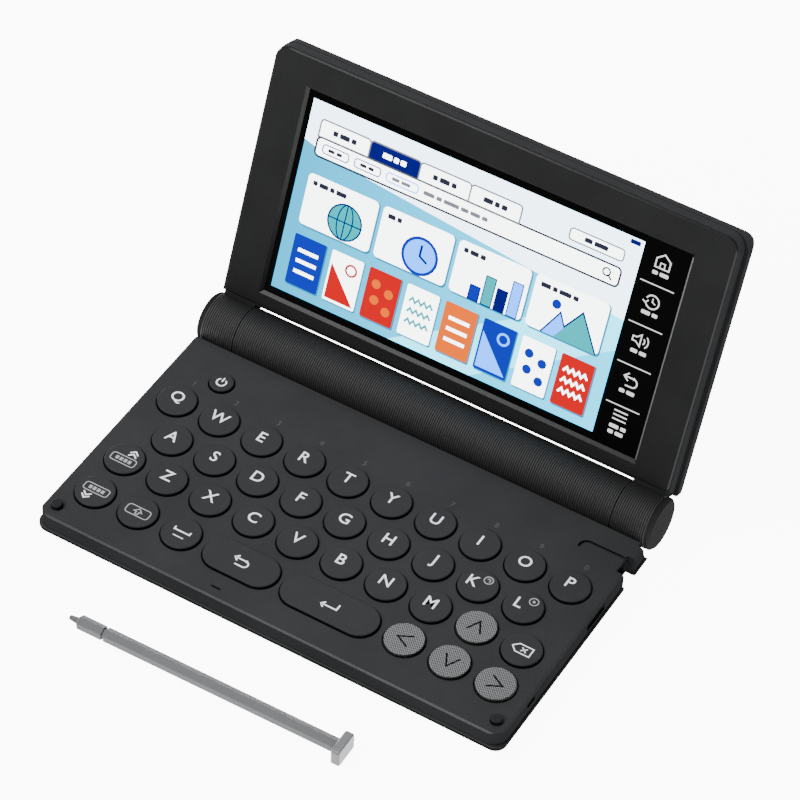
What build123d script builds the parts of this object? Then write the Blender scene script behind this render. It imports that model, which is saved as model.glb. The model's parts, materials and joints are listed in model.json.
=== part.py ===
from build123d import *
from math import cos, radians, sin
import os

# Electronic dictionary with a hinged lid, laid out the way it opens on a table.
# Millimetres, +X right, +Y to the back, +Z up, Z = 0 on the table.
# The model is drawn with Y = 0 on the hinge axis, and moved at the end so that the
# origin is the bottom centre of the whole object.

# ---------------------------------------------------------------- driving sizes
# base shells
BASE_SIDE_INSET = 0.25
SIDE_MARGIN = 3.95
FRONT_MARGIN = 7.6
BASE_BOTTOM_Z = 0.9
TRAY_HEIGHT = 1.7
DECK_Z = 7.1
BASE_CORNER_R = 4.0
BASE_REAR_CORNER_R = 0.8
BASE_BOTTOM_EDGE_R = 0.8
SEAM_CHAMFER = 0.15
TRAY_FLANGE = 0.4
TRAY_CORNER_R = 3.2
DECK_EDGE_CHAMFER = 0.4
DECK_SIDE_EDGE_R = 1.0
WALL = 1.4
FLOOR_T = 1.1
DECK_T = 1.3
RUN_OUT = 3.0

# keyboard
KEY_SPACING = 2.4
KEYS_IN_ROW = 10
KEY_PROUD = 0.75
KEY_CLEARANCE = 0.3
KEY_LIP = 0.35
KEY_LIP_T = 0.6
KEY_LIP_GAP = 0.3
KEY_EDGE_R = 0.4
KEY_TRAVEL = 0.6
ROW_1_TO_GARAGE = 13.75
ROW_1_NESTING = 0.85
ROW_2_NESTING = 0.9
ROW_3_SPREAD = 0.3
ARROW_RAISE = 0.3
POWER_KEY_R = 3.25
POWER_KEY_SHIFT = 6.1
POWER_KEY_RISE = 11.45
PILL_SPLIT_X = -3.1
PILL_GAP = 1.45
PILL_ROW_GAP = 1.95
DOME_R = 2.4
DOME_GAP = 0.3
SHEET_T = 0.4
SHEET_MARGIN = 1.0
BOARD_T = 0.8
BOARD_STANDOFF = 0.3
STANDOFF_R = 1.5
INSIDE_CLEARANCE = 0.4

# batteries, AAA size
CELL_R = 5.25
CELL_LENGTH = 44.5
CELL_EDGE_R = 0.525
CELL_NUB_R = 1.9
CELL_NUB_LENGTH = 1.0
CONTACT_ROOM = 5.5
CONTACT_T = 0.4
CONTACT_MARGIN = 0.65
SPRING_R = 3.2
SPRING_WIRE_R = 0.3
SPRING_TURNS = 4

# barrel between the lid and the base
CELL_CLEARANCE = 0.35
BARREL_WALL = 1.5
BARREL_LIFT = 0.4
BARREL_END_WALL = 5.6
KNUCKLE_GAP = 0.3
KNUCKLE_LENGTH = 11.1
KNUCKLE_RIM_CHAMFER = 0.6
CRADLE_GAP = 0.6
CRADLE_WRAP = 1.5
SADDLE_INSET = 1.0
SADDLE_LENGTH = 7.0
SADDLE_DROP = 1.2
FIXED_FIT = 0.02
RUNNING_FIT = 0.05
PIN_R = 2.0
PIN_IN_BARREL = 5.1
PIN_CAP = 3.6
DOOR_PAST_CELLS = 1.7
DOOR_HALF_WIDTH = 5.2
DOOR_GAP = 0.3
DOOR_GRIP_INSET = 6.2
DOOR_GRIP_PITCH = 1.2
DOOR_GRIP_COUNT = 4
DOOR_GRIP_LENGTH = 6.0
DOOR_GRIP_WIDTH = 0.5
DOOR_GRIP_DEPTH = 0.3

# lid, drawn flat: X across, u along the lid from the hinge axis, depth behind the axis
LID_ANGLE = 68.55
LID_FACE_DEPTH = 1.2
LID_RIM_DROP = 0.4
LID_BACK_DEPTH = 9.5
LID_OVERHANG = 0.15
LID_SET_BACK = 0.4
LID_LIP_WRAP = 1.6
LID_CORNER_R = 5.0
LID_TOP_EDGE_R = 2.4
LID_SIDE_EDGE_R = 1.8
LID_SEAM_DEPTH = 5.2
LID_SEAM_GROOVE = 0.25
LID_SHELL_STEP = 0.95
LID_FRAME_CORNER_R = 4.2
LID_BOTTOM_EDGE_R = 1.0
LID_BACK_T = 1.3
LID_WALL = 2.6
LID_LIP_WALL = 2.0
LID_RIB_T = 1.2
LID_RIB_COUNT = 3
SLIT_GAP = 0.8
CORNER_NOTCH_GAP = 1.2
CORNER_NOTCH_WIDTH = 1.6
REAR_NOTCH_GAP = 2.0
BEZEL_SIDE_LEDGE = 1.45
BEZEL_TOP_LEDGE = 0.4
BEZEL_SETBACK = 0.4
BEZEL_T = 2.0
BEZEL_FACE_T = 1.0
BEZEL_CORNER_R = 3.4
BEZEL_EDGE_CHAMFER = 0.35
BEZEL_FIT = 0.05
BORDER_SIDE = 10.75
BORDER_TOP = 8.4
BORDER_BOTTOM = 4.3
APERTURE_CHAMFER = 0.8
GLASS_MARGIN = 1.5
ICON_STRIP_WIDTH = 9.7
LCD_SIDE_MARGIN = 1.3
LCD_END_MARGIN = 0.7
LCD_T = 3.2

# small things on the base
BUMPER_SIDE_INSET = 3.6
BUMPER_FRONT_INSET = 4.05
BUMPER_R = 1.5
BUMPER_SEAT = 0.3
BUMPER_LID_GAP = 0.3
FOOT_SIDE_INSET = 14.5
FOOT_FRONT_INSET = 8.9
FOOT_R = 3.5
FOOT_SEAT = 0.3
REAR_FOOT_INSET = 4.6
REAR_FOOT_LENGTH = 6.0
REAR_FOOT_WIDTH = 4.0
REAR_FOOT_T = 1.0
SCREW_FRONT_INSET = 4.6
SCREW_FRONT_SPACING = 42.0
SCREW_REAR_SETBACK = 2.5
SCREW_LEFT_INSET = 19.5
SCREW_RIGHT_INSET = 16.5
SCREW_HEAD_R = 1.6
SCREW_HEAD_T = 0.7
SCREW_SHANK_R = 0.85
SCREW_LENGTH = 4.3
SCREW_HOLE_GAP = 0.15
BOSS_R = 1.9
MIC_SLOT_X = -15.5
MIC_FRONT_INSET = 3.05
MIC_SLOT_LENGTH = 2.4
MIC_SLOT_WIDTH = 0.5
SPEAKER_TO_GARAGE = 15.4
SPEAKER_R = 6.0
MAGNET_R = 4.0
SPEAKER_T = 2.9
GRILLE_HOLE_R = 0.6
GRILLE_RING_R = 3.2
GRILLE_COUNT = 6
JACK_SETBACK = 4.0
JACK_BORE_R = 1.8
JACK_NOSE_R = 2.3
JACK_RECESS = 0.5
JACK_ROOM_GAP = 0.05
JACK_LENGTH = 9.5
USB_TO_JACK = 7.1
USB_WIDTH = 7.5
USB_HEIGHT = 2.4
USB_DEPTH = 5.5
USB_SHELL_T = 0.3
USB_TONGUE_T = 0.6
USB_TONGUE_WIDTH = 3.75
PORT_GAP = 0.15
CARD_SLOT_SETBACK = 3.15
CARD_SLOT_LENGTH = 8.8
CARD_SLOT_DROP = 2.3
CARD_SLOT_HEIGHT = 2.2
STRAP_SLOT_SETBACK = 2.0
STRAP_SLOT_LENGTH = 3.8
STRAP_SLOT_DROP = 1.7
STRAP_SLOT_HEIGHT = 1.4
SIDE_SLOT_DEPTH = 0.8

# stylus and the garage that takes it
STYLUS_TO_BASE = 19.65
STYLUS_TIP_X = -42.3
STYLUS_LENGTH = 76.1
STYLUS_SKEW = 0.9
STYLUS_ACROSS_FLATS = 3.3
STYLUS_SHOULDER = 0.6
STYLUS_NIB_R = 0.6
STYLUS_NIB_ROOT_R = 0.9
STYLUS_NIB_LENGTH = 2.4
STYLUS_COLLAR_LENGTH = 7.5
STYLUS_GROOVE_WIDTH = 0.7
STYLUS_GROOVE_DEPTH = 0.35
STYLUS_HEAD_T = 2.4
STYLUS_HEAD_WIDTH = 7.5
STYLUS_HEAD_HEIGHT = 5.4
STYLUS_HEAD_CORNER_R = 0.9
STYLUS_HEAD_EDGE_CHAMFER = 0.3
GARAGE_SETBACK = 7.1
GARAGE_NOTCH_WIDTH = 6.0
GARAGE_NOTCH_DEPTH = 2.4
GARAGE_WALL = 1.1
GARAGE_PLAY = 0.5
GARAGE_CHANNEL_WIDTH = 4.2
GUIDE_GROOVE_LENGTH = 11.6
GUIDE_GROOVE_OFFSET = 1.8
GUIDE_GROOVE_LEG = 2.6
GUIDE_GROOVE_WIDTH = 1.0
GUIDE_GROOVE_DEPTH = 0.7
GUIDE_GROOVE_BEND_R = 1.8

# ---------------------------------------------------------------- worked-out sizes
# barrel
BARREL_BORE_R = CELL_R + CELL_CLEARANCE
BARREL_R = BARREL_BORE_R + BARREL_WALL
HINGE_Z = BARREL_R + BARREL_LIFT
BORE_HALF_LENGTH = CELL_LENGTH + CONTACT_ROOM
BARREL_HALF_LENGTH = BORE_HALF_LENGTH + BARREL_END_WALL
DOOR_HALF_LENGTH = CELL_LENGTH + DOOR_PAST_CELLS
DOOR_GRIP_X = DOOR_HALF_LENGTH - DOOR_GRIP_INSET
SADDLE_X = BARREL_HALF_LENGTH - SADDLE_INSET - SADDLE_LENGTH
REAR_FOOT_X = BARREL_HALF_LENGTH - REAR_FOOT_INSET
CONTACT_R = CELL_R - CONTACT_MARGIN
KNUCKLE_INNER_X = BARREL_HALF_LENGTH + KNUCKLE_GAP
KNUCKLE_OUTER_X = KNUCKLE_INNER_X + KNUCKLE_LENGTH
PIN_OUTER_X = KNUCKLE_OUTER_X - PIN_CAP
BASE_HALF_WIDTH = KNUCKLE_OUTER_X - BASE_SIDE_INSET

# places along Y behind the keyboard
BASE_REAR_Y = -(BARREL_R - CRADLE_WRAP)
CAVITY_REAR_Y = -(BARREL_R + CRADLE_GAP + WALL)
GARAGE_Y = CAVITY_REAR_Y - GARAGE_SETBACK
SCREW_REAR_Y = CAVITY_REAR_Y - SCREW_REAR_SETBACK
JACK_Y = CAVITY_REAR_Y - JACK_SETBACK
USB_Y = JACK_Y - USB_TO_JACK
GUIDE_GROOVE_Y = GARAGE_Y + GUIDE_GROOVE_OFFSET

# keyboard
KEY_PITCH = (2 * (BASE_HALF_WIDTH - SIDE_MARGIN) + KEY_SPACING) / KEYS_IN_ROW
KEY_R = (KEY_PITCH - KEY_SPACING) / 2
KEY_LIP_GROWTH = KEY_CLEARANCE + KEY_LIP
ROW_1_X = -KEY_PITCH * (KEYS_IN_ROW - 1) / 2
ROW_1_Y = GARAGE_Y - ROW_1_TO_GARAGE
ROW_2_Y = ROW_1_Y - (KEY_PITCH - ROW_1_NESTING)
ROW_3_Y = ROW_2_Y - (KEY_PITCH - ROW_2_NESTING)
ROW_4_Y = ROW_3_Y - (KEY_PITCH + ROW_3_SPREAD)
ARROW_UP_Y = ROW_3_Y + ARROW_RAISE
POWER_KEY_X = ROW_1_X + POWER_KEY_SHIFT
POWER_KEY_Y = ROW_1_Y + POWER_KEY_RISE
PILL_ROW_HALF = 5 * KEY_PITCH / 2 - KEY_R - PILL_ROW_GAP

# base shells
BASE_FRONT_Y = ROW_4_Y - KEY_R - FRONT_MARGIN
SEAM_Z = BASE_BOTTOM_Z + TRAY_HEIGHT
FLOOR_Z = BASE_BOTTOM_Z + FLOOR_T
CEILING_Z = DECK_Z - DECK_T
CAVITY_HEIGHT = CEILING_Z - FLOOR_Z
CAVITY_HALF_WIDTH = BASE_HALF_WIDTH - WALL
CAVITY_FRONT_Y = BASE_FRONT_Y + WALL
CAVITY_CORNER_R = BASE_CORNER_R - WALL
BOARD_Z = FLOOR_Z + BOARD_STANDOFF
SHEET_Z = BOARD_Z + BOARD_T
KEY_TOP_Z = DECK_Z + KEY_PROUD
KEY_LIP_TOP_Z = CEILING_Z - KEY_LIP_GAP
KEY_BOTTOM_Z = KEY_LIP_TOP_Z - KEY_LIP_T
DOME_TOP_Z = KEY_BOTTOM_Z - KEY_TRAVEL - DOME_GAP
SCREW_HEAD_TOP_Z = BASE_BOTTOM_Z + SCREW_HEAD_T
SCREW_FRONT_Y = BASE_FRONT_Y + SCREW_FRONT_INSET
BUMPER_X = BASE_HALF_WIDTH - BUMPER_SIDE_INSET
BUMPER_Y = BASE_FRONT_Y + BUMPER_FRONT_INSET
FOOT_X = BASE_HALF_WIDTH - FOOT_SIDE_INSET
FOOT_Y = BASE_FRONT_Y + FOOT_FRONT_INSET
MIC_SLOT_Y = BASE_FRONT_Y + MIC_FRONT_INSET
CARD_SLOT_Y = ROW_1_Y - CARD_SLOT_SETBACK
CARD_SLOT_Z = DECK_Z - CARD_SLOT_DROP
STRAP_SLOT_Y = ROW_4_Y + STRAP_SLOT_SETBACK
STRAP_SLOT_Z = DECK_Z - STRAP_SLOT_DROP
JACK_Z = (FLOOR_Z + CEILING_Z) / 2
JACK_BODY = CAVITY_HEIGHT + 2 * JACK_RECESS
JACK_INNER_X = -CAVITY_HALF_WIDTH + JACK_LENGTH

# lid
SLIT_R = BARREL_R + SLIT_GAP
CORNER_NOTCH_R = BARREL_R + CORNER_NOTCH_GAP
LID_HALF_WIDTH = BASE_HALF_WIDTH + LID_OVERHANG
LID_FRAME_HALF_WIDTH = LID_HALF_WIDTH - LID_SHELL_STEP
LID_TOP_U = -BASE_FRONT_Y - LID_SET_BACK
LID_LIP_U = BARREL_R - LID_LIP_WRAP
CORNER_NOTCH_X = LID_HALF_WIDTH - CORNER_NOTCH_WIDTH
LID_RIM_DEPTH = LID_FACE_DEPTH + LID_RIM_DROP
LID_INNER_DEPTH = LID_BACK_DEPTH - LID_BACK_T
BEZEL_HALF_WIDTH = LID_HALF_WIDTH - BEZEL_SIDE_LEDGE
BEZEL_BOTTOM_U = SLIT_R + BEZEL_SETBACK
BEZEL_TOP_U = LID_TOP_U - BEZEL_TOP_LEDGE
BEZEL_BACK_DEPTH = LID_FACE_DEPTH + BEZEL_T
GLASS_DEPTH = LID_FACE_DEPTH + BEZEL_FACE_T
APERTURE_HALF_WIDTH = BEZEL_HALF_WIDTH - BORDER_SIDE
APERTURE_BOTTOM_U = BEZEL_BOTTOM_U + BORDER_BOTTOM
APERTURE_TOP_U = BEZEL_TOP_U - BORDER_TOP
LCD_LEFT_X = -APERTURE_HALF_WIDTH - LCD_SIDE_MARGIN
LCD_RIGHT_X = APERTURE_HALF_WIDTH - ICON_STRIP_WIDTH
LCD_BOTTOM_U = APERTURE_BOTTOM_U - LCD_END_MARGIN
LCD_TOP_U = APERTURE_TOP_U + LCD_END_MARGIN
LCD_BACK_DEPTH = BEZEL_BACK_DEPTH + LCD_T

# stylus and garage
NOTCH_WALL_X = BASE_HALF_WIDTH - GARAGE_NOTCH_DEPTH
GARAGE_END_X = NOTCH_WALL_X - STYLUS_LENGTH - GARAGE_PLAY
GUIDE_GROOVE_X = NOTCH_WALL_X - GUIDE_GROOVE_LENGTH
SPEAKER_X = GARAGE_END_X - SPEAKER_TO_GARAGE
SPEAKER_Y = GARAGE_Y
STYLUS_Y = BASE_FRONT_Y - STYLUS_TO_BASE
STYLUS_Z = STYLUS_HEAD_HEIGHT / 2
STYLUS_HEAD_X = STYLUS_TIP_X + STYLUS_LENGTH


# ---------------------------------------------------------------- small helpers
def block(x0, x1, y0, y1, z0, z1):
    """Box between two corners."""
    centre = Pos((x0 + x1) / 2, (y0 + y1) / 2, (z0 + z1) / 2)
    return centre * Box(abs(x1 - x0), abs(y1 - y0), abs(z1 - z0))


def disc(x, y, z0, z1, radius):
    """Upright cylinder from z0 to z1."""
    return Pos(x, y, (z0 + z1) / 2) * Cylinder(radius, z1 - z0)


def rod(x0, x1, y, z, radius):
    """Cylinder lying along X."""
    return Pos((x0 + x1) / 2, y, z) * Rot(0, 90, 0) * Cylinder(radius, x1 - x0)


def slab(half_width, y0, y1, z0, z1, front_r, rear_r):
    """Plate with round upright corners, one radius at the front and one at the rear."""
    plate = block(-half_width, half_width, y0, y1, z0, z1)
    corners = plate.edges().filter_by(Axis.Z).sort_by(Axis.Y)
    plate = fillet(corners[:2], front_r)
    corners = plate.edges().filter_by(Axis.Z).sort_by(Axis.Y)
    return fillet(corners[-2:], rear_r)


def pill(x0, x1, y, z0, z1, radius):
    """Upright solid with the outline of a slot whose end centres are x0 and x1."""
    outline = disc(x0, y, z0, z1, radius)
    if x1 > x0:
        outline += disc(x1, y, z0, z1, radius)
        outline += block(x0, x1, y - radius, y + radius, z0, z1)
    return outline


def mirror_x(solid):
    """The same solid on the other side of the middle."""
    return mirror(solid, about=Plane.YZ)


# ---------------------------------------------------------------- keys
def key_places():
    """Name, left centre, right centre, Y and radius of every key."""
    column = [ROW_1_X + KEY_PITCH * i for i in range(KEYS_IN_ROW)]
    places = []
    for i, letter in enumerate("qwertyuiop"):
        places.append((f"key_{letter}", column[i], column[i], ROW_1_Y, KEY_R))
    for i, letter in enumerate("asdfghjkl"):
        x = column[i] + KEY_PITCH / 2
        places.append((f"key_{letter}", x, x, ROW_2_Y, KEY_R))
    for i, letter in enumerate("zxcvbnm"):
        places.append((f"key_{letter}", column[i + 1], column[i + 1], ROW_3_Y, KEY_R))
    places.append(("key_page_up", column[0], column[0], ROW_3_Y, KEY_R))
    places.append(("key_delete", column[9], column[9], ROW_3_Y, KEY_R))
    for i, name in enumerate(("key_page_down", "key_shift", "key_space")):
        places.append((name, column[i], column[i], ROW_4_Y, KEY_R))
    down_y = ARROW_UP_Y - KEY_PITCH
    places.append(("key_arrow_up", column[8], column[8], ARROW_UP_Y, KEY_R))
    for i, name in enumerate(("key_arrow_left", "key_arrow_down", "key_arrow_right")):
        places.append((name, column[7 + i], column[7 + i], down_y, KEY_R))
    back_x = (-PILL_ROW_HALF + KEY_R, PILL_SPLIT_X - PILL_GAP / 2 - KEY_R)
    enter_x = (PILL_SPLIT_X + PILL_GAP / 2 + KEY_R, PILL_ROW_HALF - KEY_R)
    places.append(("key_back", *back_x, ROW_4_Y, KEY_R))
    places.append(("key_enter", *enter_x, ROW_4_Y, KEY_R))
    places.append(("key_power", POWER_KEY_X, POWER_KEY_X, POWER_KEY_Y, POWER_KEY_R))
    return places


def key_cap(x0, x1, y, radius):
    """Key top with the hidden lip that keeps it under the deck."""
    cap = pill(x0, x1, y, KEY_BOTTOM_Z, KEY_TOP_Z, radius)
    cap = fillet(cap.edges().group_by(Axis.Z)[-1], KEY_EDGE_R)
    return cap + pill(x0, x1, y, KEY_BOTTOM_Z, KEY_LIP_TOP_Z, radius + KEY_LIP_GROWTH)


def board_outline(z0, z1, margin):
    """Plate under the whole keyboard, with a tongue under the power key."""
    left = -CAVITY_HALF_WIDTH + margin
    rear = ROW_1_Y + KEY_R + KEY_LIP_GROWTH
    front = ROW_4_Y - KEY_R - KEY_LIP_GROWTH + margin
    tongue_right = POWER_KEY_X + POWER_KEY_R + KEY_LIP_GROWTH
    tongue_rear = POWER_KEY_Y + DOME_R + INSIDE_CLEARANCE / 2
    plate = block(left, -left, front, rear, z0, z1)
    return plate, block(left, tongue_right, rear, tongue_rear, z0, z1)


def make_main_board():
    """Circuit board that carries the key contacts and the two sockets."""
    plate, tongue = board_outline(BOARD_Z, SHEET_Z, INSIDE_CLEARANCE)
    return plate + tongue


def make_keypad_sheet():
    """Rubber sheet with one dome under each key."""
    top = SHEET_Z + SHEET_T
    plate, tongue = board_outline(SHEET_Z, top, SHEET_MARGIN)
    usb_inner_x = -BASE_HALF_WIDTH + WALL + USB_DEPTH + SHEET_MARGIN
    socket_side = block(-BASE_HALF_WIDTH, usb_inner_x, USB_Y - USB_WIDTH, 0, SHEET_Z, top)
    sheet = plate + (tongue - socket_side)
    for _, x0, x1, y, _ in key_places():
        sheet += disc((x0 + x1) / 2, y, SHEET_Z, DOME_TOP_Z, DOME_R)
    return sheet


# ---------------------------------------------------------------- base shells
def cradle():
    """Space kept for the barrel, tight only at two saddles that hold it under the deck."""
    reach = KNUCKLE_OUTER_X + RUN_OUT
    free = rod(-reach, reach, 0, HINGE_Z, BARREL_R + CRADLE_GAP)
    tight = rod(-reach, reach, 0, HINGE_Z, BARREL_R + FIXED_FIT)
    bands = Part()
    for side in (-1, 1):
        x0 = side * SADDLE_X
        x1 = side * (SADDLE_X + SADDLE_LENGTH)
        bands += block(x0, x1, -reach, reach, -reach, DECK_Z - SADDLE_DROP)
    return (free - bands) + tight


def rear_notch():
    """Wider space round the barrel at the right end of the base."""
    inner_x = BASE_HALF_WIDTH - CORNER_NOTCH_WIDTH
    outside = BASE_HALF_WIDTH + RUN_OUT
    return rod(inner_x, outside, 0, HINGE_Z, BARREL_R + REAR_NOTCH_GAP)


def top_case_form():
    """Outline of the top case: rounded along both sides, bevelled along the front."""
    plan = slab(BASE_HALF_WIDTH, BASE_FRONT_Y, BASE_REAR_Y, SEAM_Z, DECK_Z,
                BASE_CORNER_R, BASE_REAR_CORNER_R)
    whole = block(-BASE_HALF_WIDTH, BASE_HALF_WIDTH, BASE_FRONT_Y, BASE_REAR_Y, SEAM_Z, DECK_Z)
    top_edges = whole.faces().sort_by(Axis.Z)[-1].edges()
    end = fillet(top_edges.filter_by(Axis.Y), DECK_SIDE_EDGE_R)
    side = chamfer(top_edges.filter_by(Axis.X).sort_by(Axis.Y)[0], DECK_EDGE_CHAMFER)
    form = plan & end & side
    return chamfer(form.faces().sort_by(Axis.Z)[0].edges(), SEAM_CHAMFER)


def notch():
    """Finger notch in the right side, open above and below, for the stylus head."""
    half = GARAGE_NOTCH_WIDTH / 2
    outside = BASE_HALF_WIDTH + RUN_OUT
    return block(NOTCH_WALL_X, outside, GARAGE_Y - half, GARAGE_Y + half, 0, DECK_Z + RUN_OUT)


def garage_walls():
    """Two ribs, an end stop and the notch lining around the stylus channel."""
    half = GARAGE_CHANNEL_WIDTH / 2 + GARAGE_WALL
    ribs = block(GARAGE_END_X - GARAGE_WALL, NOTCH_WALL_X, GARAGE_Y - half, GARAGE_Y + half,
                 FLOOR_Z, CEILING_Z)
    lining_half = GARAGE_NOTCH_WIDTH / 2 + GARAGE_WALL
    lining = block(NOTCH_WALL_X - GARAGE_WALL, CAVITY_HALF_WIDTH, GARAGE_Y - lining_half,
                   GARAGE_Y + lining_half, FLOOR_Z, CEILING_Z)
    return ribs + lining


def garage_channel():
    """The channel that the stylus slides into."""
    half = GARAGE_CHANNEL_WIDTH / 2
    return block(GARAGE_END_X, NOTCH_WALL_X, GARAGE_Y - half, GARAGE_Y + half,
                 FLOOR_Z, CEILING_Z)


def screw_places():
    """X and Y of the six case screws."""
    left = -BASE_HALF_WIDTH + SCREW_LEFT_INSET
    right = BASE_HALF_WIDTH - SCREW_RIGHT_INSET
    front = [(i * SCREW_FRONT_SPACING, SCREW_FRONT_Y) for i in (-1, 0, 1)]
    return front + [(x, SCREW_REAR_Y) for x in (left, 0, right)]


def side_pocket(y, length, z, height):
    """Shallow recess in the right side wall."""
    wall_x = BASE_HALF_WIDTH
    return block(wall_x - SIDE_SLOT_DEPTH, wall_x + RUN_OUT, y - length / 2, y + length / 2,
                 z - height / 2, z + height / 2)


def jack_room():
    """Space for the earphone jack and its nose in the left wall."""
    half = JACK_BODY / 2 + JACK_ROOM_GAP
    body = block(-CAVITY_HALF_WIDTH, JACK_INNER_X + PORT_GAP, JACK_Y - half, JACK_Y + half,
                 JACK_Z - half, JACK_Z + half)
    return body + rod(-BASE_HALF_WIDTH - RUN_OUT, -CAVITY_HALF_WIDTH, JACK_Y, JACK_Z,
                      JACK_NOSE_R + JACK_ROOM_GAP)


def usb_window():
    """Opening in the left wall in front of the USB socket."""
    half = USB_WIDTH / 2 + PORT_GAP
    return block(-BASE_HALF_WIDTH - RUN_OUT, -CAVITY_HALF_WIDTH, USB_Y - half, USB_Y + half,
                 SHEET_Z - PORT_GAP, SHEET_Z + USB_HEIGHT + PORT_GAP)


def guide_groove():
    """Bent groove in the deck that points at the stylus garage."""
    bend = GUIDE_GROOVE_BEND_R
    corner_x = GUIDE_GROOVE_X
    start = (corner_x, GUIDE_GROOVE_Y - GUIDE_GROOVE_LEG)
    before = (corner_x, GUIDE_GROOVE_Y - bend)
    after = (corner_x + bend, GUIDE_GROOVE_Y)
    end = (NOTCH_WALL_X, GUIDE_GROOVE_Y)
    path = Line(start, before) + TangentArc(before, after, tangent=(0, 1)) + Line(after, end)
    outline = trace(path, GUIDE_GROOVE_WIDTH)
    floor = Pos(0, 0, DECK_Z - GUIDE_GROOVE_DEPTH)
    return floor * extrude(outline, GUIDE_GROOVE_DEPTH + RUN_OUT)


def make_top_case():
    """Side walls and deck in one moulding, with key holes, bosses and garage."""
    case = top_case_form()
    case -= slab(CAVITY_HALF_WIDTH, CAVITY_FRONT_Y, CAVITY_REAR_Y, SEAM_Z, CEILING_Z,
                 CAVITY_CORNER_R, BASE_REAR_CORNER_R)
    case += garage_walls()
    for x, y in screw_places():
        case += disc(x, y, FLOOR_Z, CEILING_Z, BOSS_R)
        top = SCREW_HEAD_TOP_Z + SCREW_LENGTH
        case -= disc(x, y, FLOOR_Z, top, SCREW_SHANK_R + FIXED_FIT)
    for _, x0, x1, y, radius in key_places():
        case -= pill(x0, x1, y, CEILING_Z, DECK_Z, radius + KEY_CLEARANCE)
    case -= cradle()
    case -= rear_notch()
    case -= notch()
    case -= garage_channel()
    case -= side_pocket(CARD_SLOT_Y, CARD_SLOT_LENGTH, CARD_SLOT_Z, CARD_SLOT_HEIGHT)
    case -= side_pocket(STRAP_SLOT_Y, STRAP_SLOT_LENGTH, STRAP_SLOT_Z, STRAP_SLOT_HEIGHT)
    case -= jack_room()
    case -= usb_window()
    case -= guide_groove()
    half_mic = MIC_SLOT_LENGTH / 2
    case -= pill(MIC_SLOT_X - half_mic, MIC_SLOT_X + half_mic, MIC_SLOT_Y, CEILING_Z, DECK_Z,
                 MIC_SLOT_WIDTH / 2)
    for side in (-1, 1):
        case -= disc(side * BUMPER_X, BUMPER_Y, DECK_Z - BUMPER_SEAT, DECK_Z, BUMPER_R + FIXED_FIT)
    return case


def make_bottom_case():
    """Shallow tray that closes the base from below."""
    tray = slab(BASE_HALF_WIDTH + TRAY_FLANGE, BASE_FRONT_Y - TRAY_FLANGE, BASE_REAR_Y,
                BASE_BOTTOM_Z, SEAM_Z, TRAY_CORNER_R, BASE_REAR_CORNER_R)
    tray = fillet(tray.faces().sort_by(Axis.Z)[0].edges(), BASE_BOTTOM_EDGE_R)
    tray = chamfer(tray.faces().sort_by(Axis.Z)[-1].edges(), SEAM_CHAMFER)
    tray -= slab(CAVITY_HALF_WIDTH, CAVITY_FRONT_Y, CAVITY_REAR_Y, FLOOR_Z, SEAM_Z,
                 CAVITY_CORNER_R, BASE_REAR_CORNER_R)
    for i in (-2, -1, 0, 1, 2):
        for y in (ROW_1_Y, ROW_3_Y, ROW_4_Y):
            tray += disc(i * 2 * KEY_PITCH, y, FLOOR_Z - FLOOR_T / 2, BOARD_Z, STANDOFF_R)
    tray -= cradle()
    tray -= rear_notch()
    tray -= notch()
    tray -= jack_room()
    for x, y in screw_places():
        tray -= disc(x, y, BASE_BOTTOM_Z, SCREW_HEAD_TOP_Z, SCREW_HEAD_R + SCREW_HOLE_GAP)
        tray -= disc(x, y, SCREW_HEAD_TOP_Z, FLOOR_Z, SCREW_SHANK_R + SCREW_HOLE_GAP)
    for hole in PolarLocations(GRILLE_RING_R, GRILLE_COUNT):
        centre = Pos(SPEAKER_X, SPEAKER_Y, BASE_BOTTOM_Z + FLOOR_T / 2)
        tray -= centre * hole * Cylinder(GRILLE_HOLE_R, FLOOR_T)
    tray -= disc(SPEAKER_X, SPEAKER_Y, BASE_BOTTOM_Z, FLOOR_Z, GRILLE_HOLE_R)
    for side in (-1, 1):
        tray -= disc(side * FOOT_X, FOOT_Y, BASE_BOTTOM_Z, BASE_BOTTOM_Z + FOOT_SEAT,
                     FOOT_R + FIXED_FIT)
    return tray


def make_rubber_feet():
    """Two round feet under the front and two pads under the barrel."""
    feet = []
    for side in (-1, 1):
        feet.append(disc(side * FOOT_X, FOOT_Y, 0, BASE_BOTTOM_Z + FOOT_SEAT, FOOT_R))
        x = side * REAR_FOOT_X
        half = REAR_FOOT_LENGTH / 2
        feet.append(block(x - half, x + half, -REAR_FOOT_WIDTH / 2, REAR_FOOT_WIDTH / 2,
                          0, REAR_FOOT_T))
    return feet


def make_lid_bumpers():
    """Two soft buttons on the deck that the closed lid meets."""
    top = HINGE_Z + LID_FACE_DEPTH - BUMPER_LID_GAP
    bumpers = []
    for side in (-1, 1):
        button = disc(side * BUMPER_X, BUMPER_Y, DECK_Z - BUMPER_SEAT, top, BUMPER_R)
        bumpers.append(fillet(button.edges().group_by(Axis.Z)[-1], BUMPER_R / 3))
    return bumpers


def make_case_screws():
    """Six screws that hold the two base shells together."""
    screws = []
    for x, y in screw_places():
        head = disc(x, y, BASE_BOTTOM_Z, SCREW_HEAD_TOP_Z, SCREW_HEAD_R)
        socket = disc(x, y, BASE_BOTTOM_Z, BASE_BOTTOM_Z + SCREW_HEAD_T / 2, SCREW_HEAD_R / 3)
        shank = disc(x, y, SCREW_HEAD_TOP_Z, SCREW_HEAD_TOP_Z + SCREW_LENGTH, SCREW_SHANK_R)
        screws.append(head + shank - socket)
    return screws


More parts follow.
